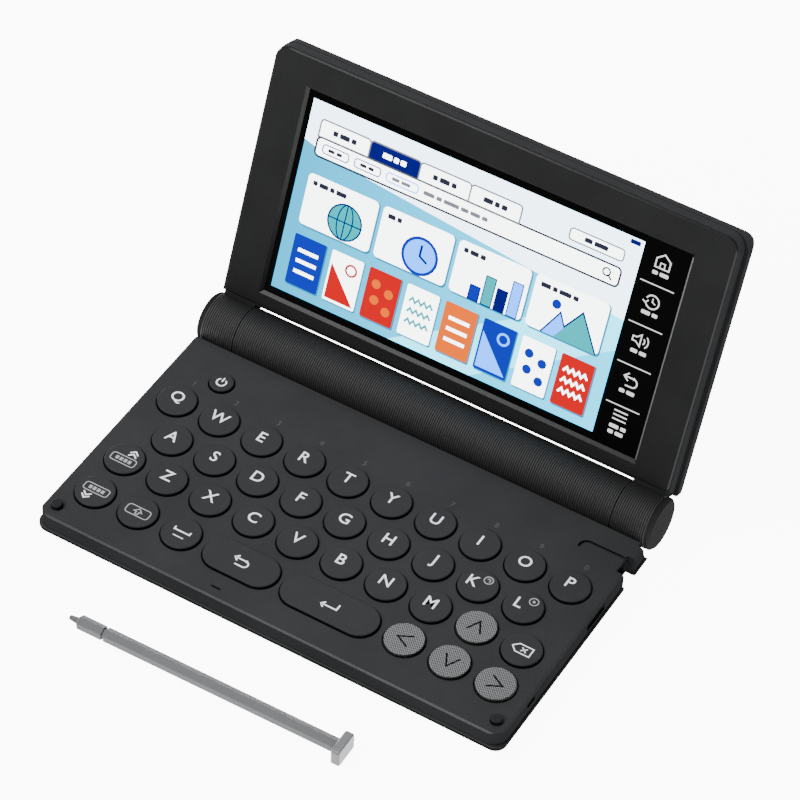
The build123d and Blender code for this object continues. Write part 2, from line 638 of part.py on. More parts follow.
def make_speaker():
    """Round loudspeaker over the grille holes."""
    basket = disc(SPEAKER_X, SPEAKER_Y, FLOOR_Z, FLOOR_Z + SPEAKER_T / 2, SPEAKER_R)
    magnet = disc(SPEAKER_X, SPEAKER_Y, FLOOR_Z + SPEAKER_T / 2, FLOOR_Z + SPEAKER_T, MAGNET_R)
    return basket + magnet


def make_earphone_jack():
    """Socket for a 3.5 mm plug, its nose flush with the left side."""
    half = JACK_BODY / 2
    body = block(-CAVITY_HALF_WIDTH, JACK_INNER_X, JACK_Y - half, JACK_Y + half,
                 JACK_Z - half, JACK_Z + half)
    nose = rod(-BASE_HALF_WIDTH, -CAVITY_HALF_WIDTH, JACK_Y, JACK_Z, JACK_NOSE_R)
    bore = rod(-BASE_HALF_WIDTH, JACK_INNER_X - WALL, JACK_Y, JACK_Z, JACK_BORE_R)
    return body + nose - bore


def make_usb_port():
    """Small data socket on the board: a metal shell with a tongue."""
    x0 = -BASE_HALF_WIDTH + SIDE_SLOT_DEPTH
    x1 = -CAVITY_HALF_WIDTH + USB_DEPTH
    half = USB_WIDTH / 2
    skin = USB_SHELL_T
    top = SHEET_Z + USB_HEIGHT
    middle = SHEET_Z + USB_HEIGHT / 2
    shell = block(x0, x1, USB_Y - half, USB_Y + half, SHEET_Z, top)
    shell -= block(x0, x1 - skin, USB_Y - half + skin, USB_Y + half - skin, SHEET_Z + skin,
                   top - skin)
    tongue_half = USB_TONGUE_WIDTH / 2
    return shell + block(x0 + skin, x1, USB_Y - tongue_half, USB_Y + tongue_half,
                         middle - USB_TONGUE_T / 2, middle + USB_TONGUE_T / 2)


# ---------------------------------------------------------------- barrel and hinge
def door_space(growth):
    """The stretch of barrel wall under the cells, grown by a gap on each side."""
    half_length = DOOR_HALF_LENGTH + growth
    half_width = DOOR_HALF_WIDTH + growth
    return block(-half_length, half_length, -half_width, half_width, -BARREL_R, HINGE_Z)


def barrel_shell():
    """Whole barrel wall, before the battery window is cut."""
    shell = rod(-BARREL_HALF_LENGTH, BARREL_HALF_LENGTH, 0, HINGE_Z, BARREL_R)
    return shell - rod(-BORE_HALF_LENGTH, BORE_HALF_LENGTH, 0, HINGE_Z, BARREL_BORE_R)


def make_barrel_tube():
    """Battery barrel fixed to the base, open below, with a bearing hole at each end."""
    tube = barrel_shell() - door_space(DOOR_GAP)
    tube -= rod(-BARREL_HALF_LENGTH, BARREL_HALF_LENGTH, 0, HINGE_Z, PIN_R + RUNNING_FIT)
    for side in (-1, 1):
        x = side * REAR_FOOT_X
        half = REAR_FOOT_LENGTH / 2 + FIXED_FIT
        half_width = REAR_FOOT_WIDTH / 2 + FIXED_FIT
        tube -= block(x - half, x + half, -half_width, half_width, 0, REAR_FOOT_T)
    return tube


def make_battery_door():
    """Cover that closes the window under the cells, with grip grooves near one end."""
    door = barrel_shell() & door_space(0)
    half = DOOR_GRIP_LENGTH / 2
    for i in range(DOOR_GRIP_COUNT):
        x = DOOR_GRIP_X - i * DOOR_GRIP_PITCH
        groove = block(x, x + DOOR_GRIP_WIDTH, -half, half, -BARREL_R, HINGE_Z)
        door -= groove - rod(x, x + DOOR_GRIP_WIDTH, 0, HINGE_Z, BARREL_R - DOOR_GRIP_DEPTH)
    return door


def make_batteries():
    """Two AAA cells end to end."""
    cells = []
    for start in (-CELL_LENGTH, 0.0):
        shoulder = start + CELL_LENGTH - CELL_NUB_LENGTH
        can = rod(start, shoulder, 0, HINGE_Z, CELL_R)
        can = fillet(can.edges().filter_by(GeomType.CIRCLE), CELL_EDGE_R)
        cells.append(can + rod(shoulder, start + CELL_LENGTH, 0, HINGE_Z, CELL_NUB_R))
    return cells


def make_battery_contacts():
    """Plate and spring at the left end, plate with a button at the right end."""
    left = -BORE_HALF_LENGTH
    plate = rod(left, left + CONTACT_T, 0, HINGE_Z, CONTACT_R)
    height = BORE_HALF_LENGTH - CELL_LENGTH - CONTACT_T - SPRING_WIRE_R
    path = Helix(pitch=height / SPRING_TURNS, height=height, radius=SPRING_R,
                 center=(0, 0, 0), direction=(0, 0, 1))
    section = Plane(origin=path @ 0, z_dir=path % 0) * Circle(SPRING_WIRE_R)
    coil = sweep(section, path=path, is_frenet=True)
    spring = Pos(left + CONTACT_T, 0, HINGE_Z) * Rot(0, 90, 0) * coil
    right = BORE_HALF_LENGTH
    button = rod(right - CONTACT_T, right, 0, HINGE_Z, CONTACT_R)
    button += rod(CELL_LENGTH, right - CONTACT_T, 0, HINGE_Z, CELL_NUB_R)
    return [plate + spring, button]


def make_hinge_knuckles():
    """Round lid ends that turn on the pins beside the barrel."""
    knuckle = rod(KNUCKLE_INNER_X, KNUCKLE_OUTER_X, 0, HINGE_Z, BARREL_R)
    knuckle = chamfer(knuckle.edges().sort_by(Axis.X)[-1:], KNUCKLE_RIM_CHAMFER)
    knuckle -= rod(KNUCKLE_INNER_X, PIN_OUTER_X, 0, HINGE_Z, PIN_R + FIXED_FIT)
    return [mirror_x(knuckle), knuckle]


def make_hinge_pins():
    """Pins fast in the knuckles that turn in the barrel's end walls."""
    pin = rod(BARREL_HALF_LENGTH - PIN_IN_BARREL, PIN_OUTER_X, 0, HINGE_Z, PIN_R)
    return [mirror_x(pin), pin]


# ---------------------------------------------------------------- lid
LID_FRAME = Plane(origin=(0, 0, HINGE_Z), x_dir=(1, 0, 0),
                  z_dir=(0, -sin(radians(LID_ANGLE)), cos(radians(LID_ANGLE))))


def lid_block(x0, x1, u0, u1, depth0, depth1):
    """Box in the lid's own layout, with depth counted behind the hinge axis."""
    return block(x0, x1, u0, u1, -depth1, -depth0)


def lid_plate(half_width, u0, u1, depth0, depth1, top_r, bottom_r):
    """Plate in the lid's layout with round corners at its top and bottom."""
    return slab(half_width, u0, u1, -depth1, -depth0, bottom_r, top_r)


def round_clearance(x0, x1, radius):
    """Cylinder about the hinge axis in the lid's layout, on both sides."""
    right = rod(x0, x1, 0, 0, radius)
    return right + mirror_x(right)


def lid_seam():
    """Groove round the lid between its front frame and the wider rear shell."""
    outside = LID_HALF_WIDTH + RUN_OUT
    depth0 = LID_SEAM_DEPTH - LID_SEAM_GROOVE
    ring = lid_block(-outside, outside, BARREL_R, LID_TOP_U + RUN_OUT, depth0, LID_SEAM_DEPTH)
    return ring - lid_plate(LID_FRAME_HALF_WIDTH - LID_SEAM_GROOVE, BARREL_R - RUN_OUT,
                            LID_TOP_U - LID_SEAM_GROOVE, depth0, LID_SEAM_DEPTH,
                            LID_FRAME_CORNER_R, LID_BOTTOM_EDGE_R)


def lid_outer_form():
    """Solid outline of the back cover: rear shell cut from three views, with its frame."""
    plan = lid_plate(LID_HALF_WIDTH, LID_LIP_U, LID_TOP_U, LID_SEAM_DEPTH, LID_BACK_DEPTH,
                     LID_CORNER_R, LID_BOTTOM_EDGE_R)
    side = lid_block(-LID_HALF_WIDTH, LID_HALF_WIDTH, LID_LIP_U, LID_TOP_U, LID_RIM_DEPTH,
                     LID_BACK_DEPTH)
    back_edges = side.faces().sort_by(Axis.Z)[0].edges().filter_by(Axis.X).sort_by(Axis.Y)
    side = fillet(back_edges[0], LID_BOTTOM_EDGE_R)
    back_edges = side.faces().sort_by(Axis.Z)[0].edges().filter_by(Axis.X).sort_by(Axis.Y)
    side = fillet(back_edges[-1], LID_TOP_EDGE_R)
    end = lid_block(-LID_HALF_WIDTH, LID_HALF_WIDTH, LID_LIP_U, LID_TOP_U, LID_RIM_DEPTH,
                    LID_BACK_DEPTH)
    end = fillet(end.faces().sort_by(Axis.Z)[0].edges().filter_by(Axis.Y), LID_SIDE_EDGE_R)
    frame = lid_plate(LID_FRAME_HALF_WIDTH, LID_LIP_U, LID_TOP_U, LID_RIM_DEPTH, LID_SEAM_DEPTH,
                      LID_FRAME_CORNER_R, LID_BOTTOM_EDGE_R)
    return (plan & side & end) + frame - lid_seam()


def make_lid_back():
    """Back cover: a tray with a lip that wraps behind the barrel."""
    shell = lid_outer_form()
    recess_half = BEZEL_HALF_WIDTH + BEZEL_FIT
    shell -= lid_plate(recess_half, BEZEL_BOTTOM_U - BEZEL_FIT, BEZEL_TOP_U + BEZEL_FIT,
                       LID_RIM_DEPTH, BEZEL_BACK_DEPTH, BEZEL_CORNER_R, LID_BOTTOM_EDGE_R)
    cavity_half = LID_HALF_WIDTH - LID_WALL
    shell -= lid_plate(cavity_half, BEZEL_BOTTOM_U + LID_LIP_WALL, LID_TOP_U - LID_WALL,
                       BEZEL_BACK_DEPTH, LID_INNER_DEPTH, LID_WALL, LID_BOTTOM_EDGE_R)
    for i in range(LID_RIB_COUNT):
        u = LCD_BOTTOM_U + (LCD_TOP_U - LCD_BOTTOM_U) * (i + 1) / (LID_RIB_COUNT + 1)
        shell += lid_block(-cavity_half, cavity_half, u - LID_RIB_T / 2, u + LID_RIB_T / 2,
                           LCD_BACK_DEPTH, LID_INNER_DEPTH)
    shell -= rod(-KNUCKLE_INNER_X, KNUCKLE_INNER_X, 0, 0, SLIT_R)
    shell -= round_clearance(KNUCKLE_INNER_X, CORNER_NOTCH_X, BARREL_R + FIXED_FIT)
    shell -= round_clearance(CORNER_NOTCH_X, LID_HALF_WIDTH, CORNER_NOTCH_R)
    return LID_FRAME.location * shell


def make_lid_bezel():
    """Front frame of the lid with a bevelled window."""
    frame = lid_plate(BEZEL_HALF_WIDTH, BEZEL_BOTTOM_U, BEZEL_TOP_U, LID_FACE_DEPTH,
                      BEZEL_BACK_DEPTH, BEZEL_CORNER_R, LID_BOTTOM_EDGE_R)
    frame -= lid_block(-APERTURE_HALF_WIDTH, APERTURE_HALF_WIDTH, APERTURE_BOTTOM_U,
                       APERTURE_TOP_U, LID_FACE_DEPTH, BEZEL_BACK_DEPTH)
    face = frame.faces().sort_by(Axis.Z)[-1]
    frame = chamfer(face.outer_wire().edges(), BEZEL_EDGE_CHAMFER)
    face = frame.faces().sort_by(Axis.Z)[-1]
    frame = chamfer(face.inner_wires()[0].edges(), APERTURE_CHAMFER)
    glass_half = APERTURE_HALF_WIDTH + GLASS_MARGIN + BEZEL_FIT
    frame -= lid_block(-glass_half, glass_half, APERTURE_BOTTOM_U - GLASS_MARGIN - BEZEL_FIT,
                       APERTURE_TOP_U + GLASS_MARGIN + BEZEL_FIT, GLASS_DEPTH, BEZEL_BACK_DEPTH)
    return LID_FRAME.location * frame


def make_touch_panel():
    """Glass behind the window, wide enough for the icon strip."""
    half = APERTURE_HALF_WIDTH + GLASS_MARGIN
    pane = lid_block(-half, half, APERTURE_BOTTOM_U - GLASS_MARGIN, APERTURE_TOP_U + GLASS_MARGIN,
                     GLASS_DEPTH, BEZEL_BACK_DEPTH)
    return LID_FRAME.location * pane


def make_lcd_module():
    """Display module between the glass and the ribs of the back cover."""
    module = lid_block(LCD_LEFT_X, LCD_RIGHT_X, LCD_BOTTOM_U, LCD_TOP_U, BEZEL_BACK_DEPTH,
                       LCD_BACK_DEPTH)
    return LID_FRAME.location * module


# ---------------------------------------------------------------- stylus
def hexagon_bar(x0, x1, across_flats):
    """Six-sided bar lying along X with a corner on top."""
    section = RegularPolygon(across_flats / 2, 6, major_radius=False)
    return Pos(x0, STYLUS_Y, STYLUS_Z) * Rot(0, 90, 0) * extrude(section, x1 - x0)


def make_stylus_shaft():
    """Six-sided pen with a thin nib and one groove behind its collar."""
    collar_x = STYLUS_TIP_X + STYLUS_NIB_LENGTH
    groove_x = collar_x + STYLUS_COLLAR_LENGTH
    neck = STYLUS_ACROSS_FLATS - 2 * STYLUS_GROOVE_DEPTH
    shaft = hexagon_bar(collar_x, STYLUS_HEAD_X, STYLUS_ACROSS_FLATS)
    shaft = chamfer(shaft.faces().sort_by(Axis.X)[0].edges(), STYLUS_SHOULDER)
    ring = hexagon_bar(groove_x, groove_x + STYLUS_GROOVE_WIDTH, 2 * STYLUS_ACROSS_FLATS)
    shaft -= ring - hexagon_bar(groove_x, groove_x + STYLUS_GROOVE_WIDTH, neck)
    nib = Pos((STYLUS_TIP_X + collar_x) / 2, STYLUS_Y, STYLUS_Z) * Rot(0, 90, 0) * Cone(
        STYLUS_NIB_R, STYLUS_NIB_ROOT_R, STYLUS_NIB_LENGTH)
    nib = fillet(nib.edges().sort_by(Axis.X)[0], STYLUS_NIB_R / 2)
    return shaft + nib


def make_stylus_head():
    """Cross bar at the end of the stylus that stays in the notch when it is stored."""
    x0 = STYLUS_HEAD_X
    half = STYLUS_HEAD_WIDTH / 2
    bar = block(x0, x0 + STYLUS_HEAD_T, STYLUS_Y - half, STYLUS_Y + half, 0, STYLUS_HEAD_HEIGHT)
    bar = fillet(bar.edges().filter_by(Axis.X), STYLUS_HEAD_CORNER_R)
    ends = bar.faces().sort_by(Axis.X)
    return chamfer(ends[0].edges() + ends[-1].edges(), STYLUS_HEAD_EDGE_CHAMFER)


# ---------------------------------------------------------------- assembly
def make_all():
    """Every sub-part by node name; a list holds separate solids of one node."""
    stylus_turn = (Pos(STYLUS_HEAD_X, STYLUS_Y, 0) * Rot(0, 0, STYLUS_SKEW)
                   * Pos(-STYLUS_HEAD_X, -STYLUS_Y, 0))
    parts = {
        "bottom_case": make_bottom_case(),
        "top_case": make_top_case(),
        "main_board": make_main_board(),
        "keypad_sheet": make_keypad_sheet(),
        "rubber_feet": make_rubber_feet(),
        "lid_bumpers": make_lid_bumpers(),
        "case_screws": make_case_screws(),
        "speaker": make_speaker(),
        "earphone_jack": make_earphone_jack(),
        "usb_port": make_usb_port(),
        "barrel_tube": make_barrel_tube(),
        "battery_door": make_battery_door(),
        "batteries": make_batteries(),
        "battery_contacts": make_battery_contacts(),
        "hinge_knuckles": make_hinge_knuckles(),
        "hinge_pins": make_hinge_pins(),
        "lid_back": make_lid_back(),
        "lid_bezel": make_lid_bezel(),
        "touch_panel": make_touch_panel(),
        "lcd_module": make_lcd_module(),
        "stylus_shaft": stylus_turn * make_stylus_shaft(),
        "stylus_head": stylus_turn * make_stylus_head(),
    }
    for name, x0, x1, y, radius in key_places():
        parts[name] = key_cap(x0, x1, y, radius)
    return parts


def middle_y():
    """Y half way between the stylus in front and the back of the open lid."""
    skew = radians(STYLUS_SKEW)
    front = (STYLUS_Y + STYLUS_HEAD_EDGE_CHAMFER * sin(skew)
             - STYLUS_HEAD_WIDTH / 2 * cos(skew))
    lean = radians(LID_ANGLE)
    along = LID_TOP_U - LID_TOP_EDGE_R
    behind = LID_BACK_DEPTH - LID_TOP_EDGE_R
    back = along * cos(lean) + behind * sin(lean) + LID_TOP_EDGE_R
    return (front + back) / 2


os.makedirs("parts", exist_ok=True)
to_origin = Pos(0, -middle_y(), 0)
for node, shape in make_all().items():
    solids = shape if isinstance(shape, list) else [shape]
    placed = [to_origin * solid for solid in solids]
    whole = placed[0] if len(placed) == 1 else Compound(children=placed)
    whole.label = node
    export_step(whole, f"parts/{node}.step")
print("origin is", round(-middle_y(), 3), "mm behind the hinge line")
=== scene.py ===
import json
import math

import bmesh
import bpy
from mathutils import Matrix, Vector


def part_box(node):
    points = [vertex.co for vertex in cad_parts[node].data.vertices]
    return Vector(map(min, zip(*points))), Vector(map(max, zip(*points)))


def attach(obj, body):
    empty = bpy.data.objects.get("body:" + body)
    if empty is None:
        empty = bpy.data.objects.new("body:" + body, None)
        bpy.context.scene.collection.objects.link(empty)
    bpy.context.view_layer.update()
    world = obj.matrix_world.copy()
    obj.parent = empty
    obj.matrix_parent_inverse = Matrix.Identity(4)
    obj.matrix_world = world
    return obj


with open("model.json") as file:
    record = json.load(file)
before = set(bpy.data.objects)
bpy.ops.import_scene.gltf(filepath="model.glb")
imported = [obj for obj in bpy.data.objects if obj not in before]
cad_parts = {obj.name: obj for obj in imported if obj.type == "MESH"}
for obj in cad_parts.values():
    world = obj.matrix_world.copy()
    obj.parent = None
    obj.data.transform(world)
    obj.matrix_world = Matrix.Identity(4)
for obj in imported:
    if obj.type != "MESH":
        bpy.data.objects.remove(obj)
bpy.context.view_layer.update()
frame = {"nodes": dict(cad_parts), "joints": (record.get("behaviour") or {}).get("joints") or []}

# Sizes are in millimetres and degrees. MM turns them into the frame's metres.
MM = 0.001

# lid and barrel, as in the solids
HINGE = Vector(frame["joints"][0]["pos_m"])
LID_ANGLE = math.radians(68.55)
LID_UP = Vector((0.0, math.cos(LID_ANGLE), math.sin(LID_ANGLE)))
LID_OUT = Vector((0.0, -math.sin(LID_ANGLE), math.cos(LID_ANGLE)))
FACE_DEPTH = 1.2
GLASS_DEPTH = 2.2
APERTURE_HALF_WIDTH = 54.7
APERTURE_UPS = (12.8, 69.9)
APERTURE_CHAMFER = 0.8
BARREL_R = 7.1
TUBE_HALF_LENGTH = 55.6
KNUCKLE_INNER_X = 55.9
KNUCKLE_OUTER_X = 67.0

# finish of the surfaces, and the painted shade of their upright faces
UP = (0.0, 0.0, 1.0)
FINE_GRAIN = 0.16
# painted shade: upright faces darken between these levels of facing the top
WALL_SHADE_TURN = (0.25, 0.85)
EDGE_TURN = (0.93, 0.985)
EDGE_ROUGHNESS = 0.22
# tilt of the lid's unshaded way towards its face, for the lid's painted shade
LID_SHADE_TILT = 0.36
KEY_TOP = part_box("key_q")[1].z
KEY_TOP_BAND = 0.05

# printing and display layers
PRINT_T = 0.02
LAYER = 0.02
STROKE_STEPS = 24

# ribs round the barrel
RIB_PITCH = 0.62
RIB_FOOT = 0.01
RIB_HEIGHT = 0.15
RIB_ROOT = -0.2
RIB_SAMPLES = 4
RIB_TURN_STEPS = 88
RIB_END_BAND = 1.5
RIB_EDGE = 0.08
RIB_DOOR_ARC = math.radians(52)

# display picture
SCREEN = (-53.1, 41.9, 14.6, 68.45)
STRIP = (41.9, 54.5, 12.8, 70.4)

# floor, in metres from the middle, and light
FLOOR_SIZE = 4.0
FLOOR_TONES = (0.36, 0.4)
FLOOR_GLOW = 10.0
FLOOR_GLOW_START = 0.3
FLOOR_GLOW_END = 3.0
FLOOR_DROP = 0.00005
LAMPS = (
    ("softbox_front", (-0.42, -0.82, 0.82), (0.5, 0.35), 16.5),
    ("softbox_back", (-0.5, 0.85, 1.05), (0.9, 0.6), 11),
    ("softbox_left", (-0.4, -0.16, 0.85), (0.4, 0.4), 12.5),
)
LAMPS_AIM = Vector((0.0, -0.03, 0.02))
ROOM_LIGHT = 0.3

# camera
CAMERA_FROM_HINGE = Vector((0.32278, -0.592064, 0.72244))
CAMERA_AZIMUTH = math.radians(29.291)
CAMERA_ELEVATION = math.radians(46.726)
CAMERA_ROLL = math.radians(-2.572)
CAMERA_LENS = 174.756
CAMERA_SENSOR = 36.0


def grey(value):
    return (value, value * 1.01, value * 1.03, 1.0)


# materials


def new_look(name):
    look = bpy.data.materials.new(name)
    look.use_nodes = True
    tree = look.node_tree
    return look, tree.nodes, tree.links, tree.nodes["Principled BSDF"]


def noise(nodes, links, where, scale, detail):
    made = nodes.new("ShaderNodeTexNoise")
    made.inputs["Scale"].default_value = scale
    made.inputs["Detail"].default_value = detail
    links.new(where, made.inputs["Vector"])
    return made.outputs[0]


def math_node(nodes, links, operation, first, second=0.5, third=None):
    made = nodes.new("ShaderNodeMath")
    made.operation = operation
    for socket, value in zip(made.inputs, (first, second, third)):
        if value is None:
            continue
        if isinstance(value, (int, float)):
            socket.default_value = value
        else:
            links.new(value, socket)
    return made.outputs[0]


def ramp(nodes, links, value, stops):
    made = nodes.new("ShaderNodeValToRGB")
    elements = made.color_ramp.elements
    elements[0].position, elements[0].color = stops[0]
    elements[1].position, elements[1].color = stops[-1]
    for place, colour in stops[1:-1]:
        elements.new(place).color = colour
    links.new(value, made.inputs[0])
    return made.outputs[0]


def spread(nodes, links, value, low, high):
    made = nodes.new("ShaderNodeMapRange")
    made.inputs["To Min"].default_value = low
    made.inputs["To Max"].default_value = high
    links.new(value, made.inputs["Value"])
    return made.outputs[0]


def mixed(nodes, links, share, first, second, blend="MIX"):
    """Two colours mixed by a share, each given as a tone or as a node's output."""
    made = nodes.new("ShaderNodeMix")
    made.data_type = "RGBA"
    made.blend_type = blend
    for socket, value in ((made.inputs["Factor"], share), (made.inputs[6], first),
                          (made.inputs[7], second)):
        if isinstance(value, bpy.types.NodeSocket):
            links.new(value, socket)
        else:
            socket.default_value = value
    return made.outputs[2]


def wave(nodes, links, value, pitch):
    """A sine along a position, with a pitch in millimetres."""
    turned = math_node(nodes, links, "MULTIPLY", value, 2 * math.pi / (pitch * MM))
    return math_node(nodes, links, "SINE", turned)


def bump(nodes, links, shader, height, distance):
    made = nodes.new("ShaderNodeBump")
    made.inputs["Distance"].default_value = distance * MM
    made.inputs["Strength"].default_value = 1.0
    links.new(height, made.inputs["Height"])
    links.new(made.outputs["Normal"], shader.inputs["Normal"])


def facing(nodes, links, way):
    """How squarely a surface faces a direction of its own piece, from -1 to 1."""
    normal = nodes.new("ShaderNodeTexCoord").outputs["Normal"]
    made = nodes.new("ShaderNodeVectorMath")
    made.operation = "DOT_PRODUCT"
    links.new(normal, made.inputs[0])
    made.inputs[1].default_value = Vector(way).normalized()
    return made.outputs["Value"]


def grained(name, dark, light, rough, grain=FINE_GRAIN, depth=0.012, cloud=14.0, rough_spread=0.05,
            metal=0.0, specular=0.5, wall_shade=1.0, top=UP, polished=()):
    """Moulded plastic, rubber or metal: a fine grain over slow clouds of tone.

    Surfaces that stand upright to the top are darkened by the share for walls, which is painted
    shade, and edges that face one of the polished directions have a gloss of their own, each with
    its own strength.
    """
    look, nodes, links, shader = new_look(name)
    where = nodes.new("ShaderNodeTexCoord").outputs["Object"]
    fine = noise(nodes, links, where, 1 / (grain * MM), 2.0)
    wide = noise(nodes, links, where, 1 / (cloud * MM), 3.0)
    both = math_node(nodes, links, "MULTIPLY_ADD", fine, 0.6,
                     math_node(nodes, links, "MULTIPLY", wide, 0.4))
    shown = ramp(nodes, links, both, ((0.35, dark), (0.65, light)))
    # painted shade: faces that stand upright to the top get darker by the share for walls
    if wall_shade != 1.0:
        level = math_node(nodes, links, "ABSOLUTE", facing(nodes, links, top), 0.0)
        share = ramp(nodes, links, level, ((WALL_SHADE_TURN[0], grey(wall_shade)), (WALL_SHADE_TURN[1], grey(1.0))))
        shown = mixed(nodes, links, 1.0, shown, share, "MULTIPLY")
    links.new(shown, shader.inputs["Base Color"])
    links.new(spread(nodes, links, wide, rough - rough_spread, rough + rough_spread),
              shader.inputs["Roughness"])
    gloss = None
    for way, strength in polished:
        made = nodes.new("ShaderNodeMapRange")
        made.interpolation_type = "SMOOTHSTEP"
        made.inputs["From Min"].default_value = EDGE_TURN[0]
        made.inputs["From Max"].default_value = EDGE_TURN[1]
        made.inputs["To Max"].default_value = strength
        links.new(facing(nodes, links, way), made.inputs["Value"])
        gloss = made.outputs[0] if gloss is None else math_node(
            nodes, links, "MAXIMUM", gloss, made.outputs[0])
    if gloss:
        links.new(gloss, shader.inputs["Coat Weight"])
        shader.inputs["Coat Roughness"].default_value = EDGE_ROUGHNESS
    bump(nodes, links, shader, fine, depth)
    shader.inputs["Metallic"].default_value = metal
    shader.inputs["Specular IOR Level"].default_value = specular
    return look


def ribbed(name, groove_shade, crest, rough, specular):
    """Plastic with painted shade in its rib grooves: the grooves, nearer the hinge line, are
    darker than the crests.
    """
    look, nodes, links, shader = new_look(name)
    where = nodes.new("ShaderNodeTexCoord").outputs["Object"]
    flat = nodes.new("ShaderNodeVectorMath")
    flat.operation = "MULTIPLY_ADD"
    links.new(where, flat.inputs[0])
    flat.inputs[1].default_value = (0, 1, 1)
    flat.inputs[2].default_value = (0, -HINGE.y, -HINGE.z)
    reach = nodes.new("ShaderNodeVectorMath")
    reach.operation = "LENGTH"
    links.new(flat.outputs[0], reach.inputs[0])
    height = nodes.new("ShaderNodeMapRange")
    height.inputs["From Min"].default_value = (BARREL_R + RIB_FOOT) * MM
    height.inputs["From Max"].default_value = (BARREL_R + RIB_FOOT + RIB_HEIGHT) * MM
    links.new(reach.outputs["Value"], height.inputs["Value"])
    # painted shade: tone runs from the dark groove colour at the rib foot to the crest colour at
    # its top
    links.new(ramp(nodes, links, height.outputs[0], ((0.25, groove_shade), (0.75, crest))),
              shader.inputs["Base Color"])
    links.new(spread(nodes, links, height.outputs[0], 0.9, rough), shader.inputs["Roughness"])
    bump(nodes, links, shader, noise(nodes, links, where, 1 / (FINE_GRAIN * MM), 2.0), 0.008)
    shader.inputs["Specular IOR Level"].default_value = specular
    return look


def meshed(name, light, dark, side, pitch=0.72):
    """Silver print crossed by fine slanting lines of dark dots on a key's top face."""
    look, nodes, links, shader = new_look(name)
    where = nodes.new("ShaderNodeTexCoord").outputs["Object"]
    split = nodes.new("ShaderNodeSeparateXYZ")
    links.new(where, split.inputs[0])
    dots = math_node(nodes, links, "MULTIPLY", wave(nodes, links, split.outputs["X"], pitch),
                     wave(nodes, links, split.outputs["Y"], pitch))
    printed = ramp(nodes, links, math_node(nodes, links, "MULTIPLY_ADD", dots, 0.5, 0.5),
                   ((0.46, dark), (0.62, light)))
    above = math_node(nodes, links, "GREATER_THAN", split.outputs["Z"],
                      KEY_TOP - KEY_TOP_BAND * MM)
    links.new(mixed(nodes, links, above, side, printed), shader.inputs["Base Color"])
    shader.inputs["Specular IOR Level"].default_value = 0.25
    fine = noise(nodes, links, where, 1 / (FINE_GRAIN * MM), 2.0)
    links.new(spread(nodes, links, fine, 0.42, 0.56), shader.inputs["Roughness"])
    bump(nodes, links, shader, math_node(nodes, links, "ADD", dots, fine), 0.01)
    return look


def glowing(nodes, links, shader, where, shown, rough=0.28):
    """Let a tone shine from a nearly black glossy face."""
    links.new(shown, shader.inputs["Emission Color"])
    shader.inputs["Emission Strength"].default_value = 1.0
    shader.inputs["Base Color"].default_value = grey(0.0003)
    shader.inputs["Specular IOR Level"].default_value = 0.004
    smear = noise(nodes, links, where, 1 / (18 * MM), 2.0)
    links.new(spread(nodes, links, smear, rough - 0.04, rough + 0.06),
              shader.inputs["Roughness"])


def lit(name, colour, grid=0.12, ripple=0.08):
    """One tone of the lit display, with the fine grid of its pixels."""
    look, nodes, links, shader = new_look(name)
    where = nodes.new("ShaderNodeTexCoord").outputs["Object"]
    split = nodes.new("ShaderNodeSeparateXYZ")
    links.new(where, split.inputs[0])
    cells = math_node(nodes, links, "MULTIPLY", wave(nodes, links, split.outputs["X"], grid),
                      wave(nodes, links, split.outputs["Z"], grid))
    cells = math_node(nodes, links, "MULTIPLY_ADD", cells, 0.5, 0.5)
    dim = tuple(part * (1 - ripple) for part in colour[:3]) + (1.0,)
    shown = ramp(nodes, links, cells, ((0.0, dim), (1.0, colour)))
    glowing(nodes, links, shader, where, shown)
    return look


def faded(name, left, right):
    """The display's background, which fades from one tone to another across its width."""
    look, nodes, links, shader = new_look(name)
    where = nodes.new("ShaderNodeTexCoord").outputs["Object"]
    split = nodes.new("ShaderNodeSeparateXYZ")
    links.new(where, split.inputs[0])
    share = nodes.new("ShaderNodeMapRange")
    share.inputs["From Min"].default_value = SCREEN[0] * MM
    share.inputs["From Max"].default_value = SCREEN[1] * MM
    links.new(split.outputs["X"], share.inputs["Value"])
    shown = ramp(nodes, links, share.outputs[0], ((0.0, left), (1.0, right)))
    glowing(nodes, links, shader, where, shown)
    return look


def dress(node, look):
    for slot in frame["nodes"][node].material_slots:
        slot.material = look


LID_TOP_EDGE = LID_UP + LID_OUT
LID_RIGHT_EDGE = Vector((1, 0, 0)) + LID_OUT

# painted shade: the case's upright faces are darkened by the share for walls
CASE = grained("case_plastic", grey(0.0175), grey(0.0235), 0.6, specular=0.0, wall_shade=0.3,
               polished=[((0, -1, 1), 0.15)])
# painted shade: the tray's upright faces are darkened by the share for walls
TRAY = grained("tray_plastic", grey(0.018), grey(0.024), 0.6, specular=0.0, wall_shade=0.16)
# painted shade: lid faces that turn away from its top edge are darkened by the share for walls
LID = grained("lid_plastic", grey(0.0205), grey(0.0238), 0.6, specular=0.0, wall_shade=0.38,
              top=LID_UP + LID_SHADE_TILT * LID_OUT, polished=[(LID_TOP_EDGE, 0.2)])
BEZEL = grained("bezel_plastic", grey(0.006), grey(0.0088), 0.6, specular=0.0,
                polished=[(LID_TOP_EDGE, 0.11), (LID_RIGHT_EDGE, 0.12)])
BARREL = grained("barrel_plastic", grey(0.008), grey(0.011), 0.46, specular=0.06)
# painted shade darkens the grooves between the barrel's ribs
RIBS = ribbed("barrel_ribs_plastic", grey(0.0018), grey(0.014), 0.44, 0.16)
KNUCKLE = grained("knuckle_plastic", grey(0.0075), grey(0.0105), 0.5, specular=0.0)
# painted highlight: the tone of the lighter strip on the aperture's right bevel
APERTURE_HIGHLIGHT = grained("aperture_painted_highlight", grey(0.05), grey(0.065), 0.4, specular=0.1)
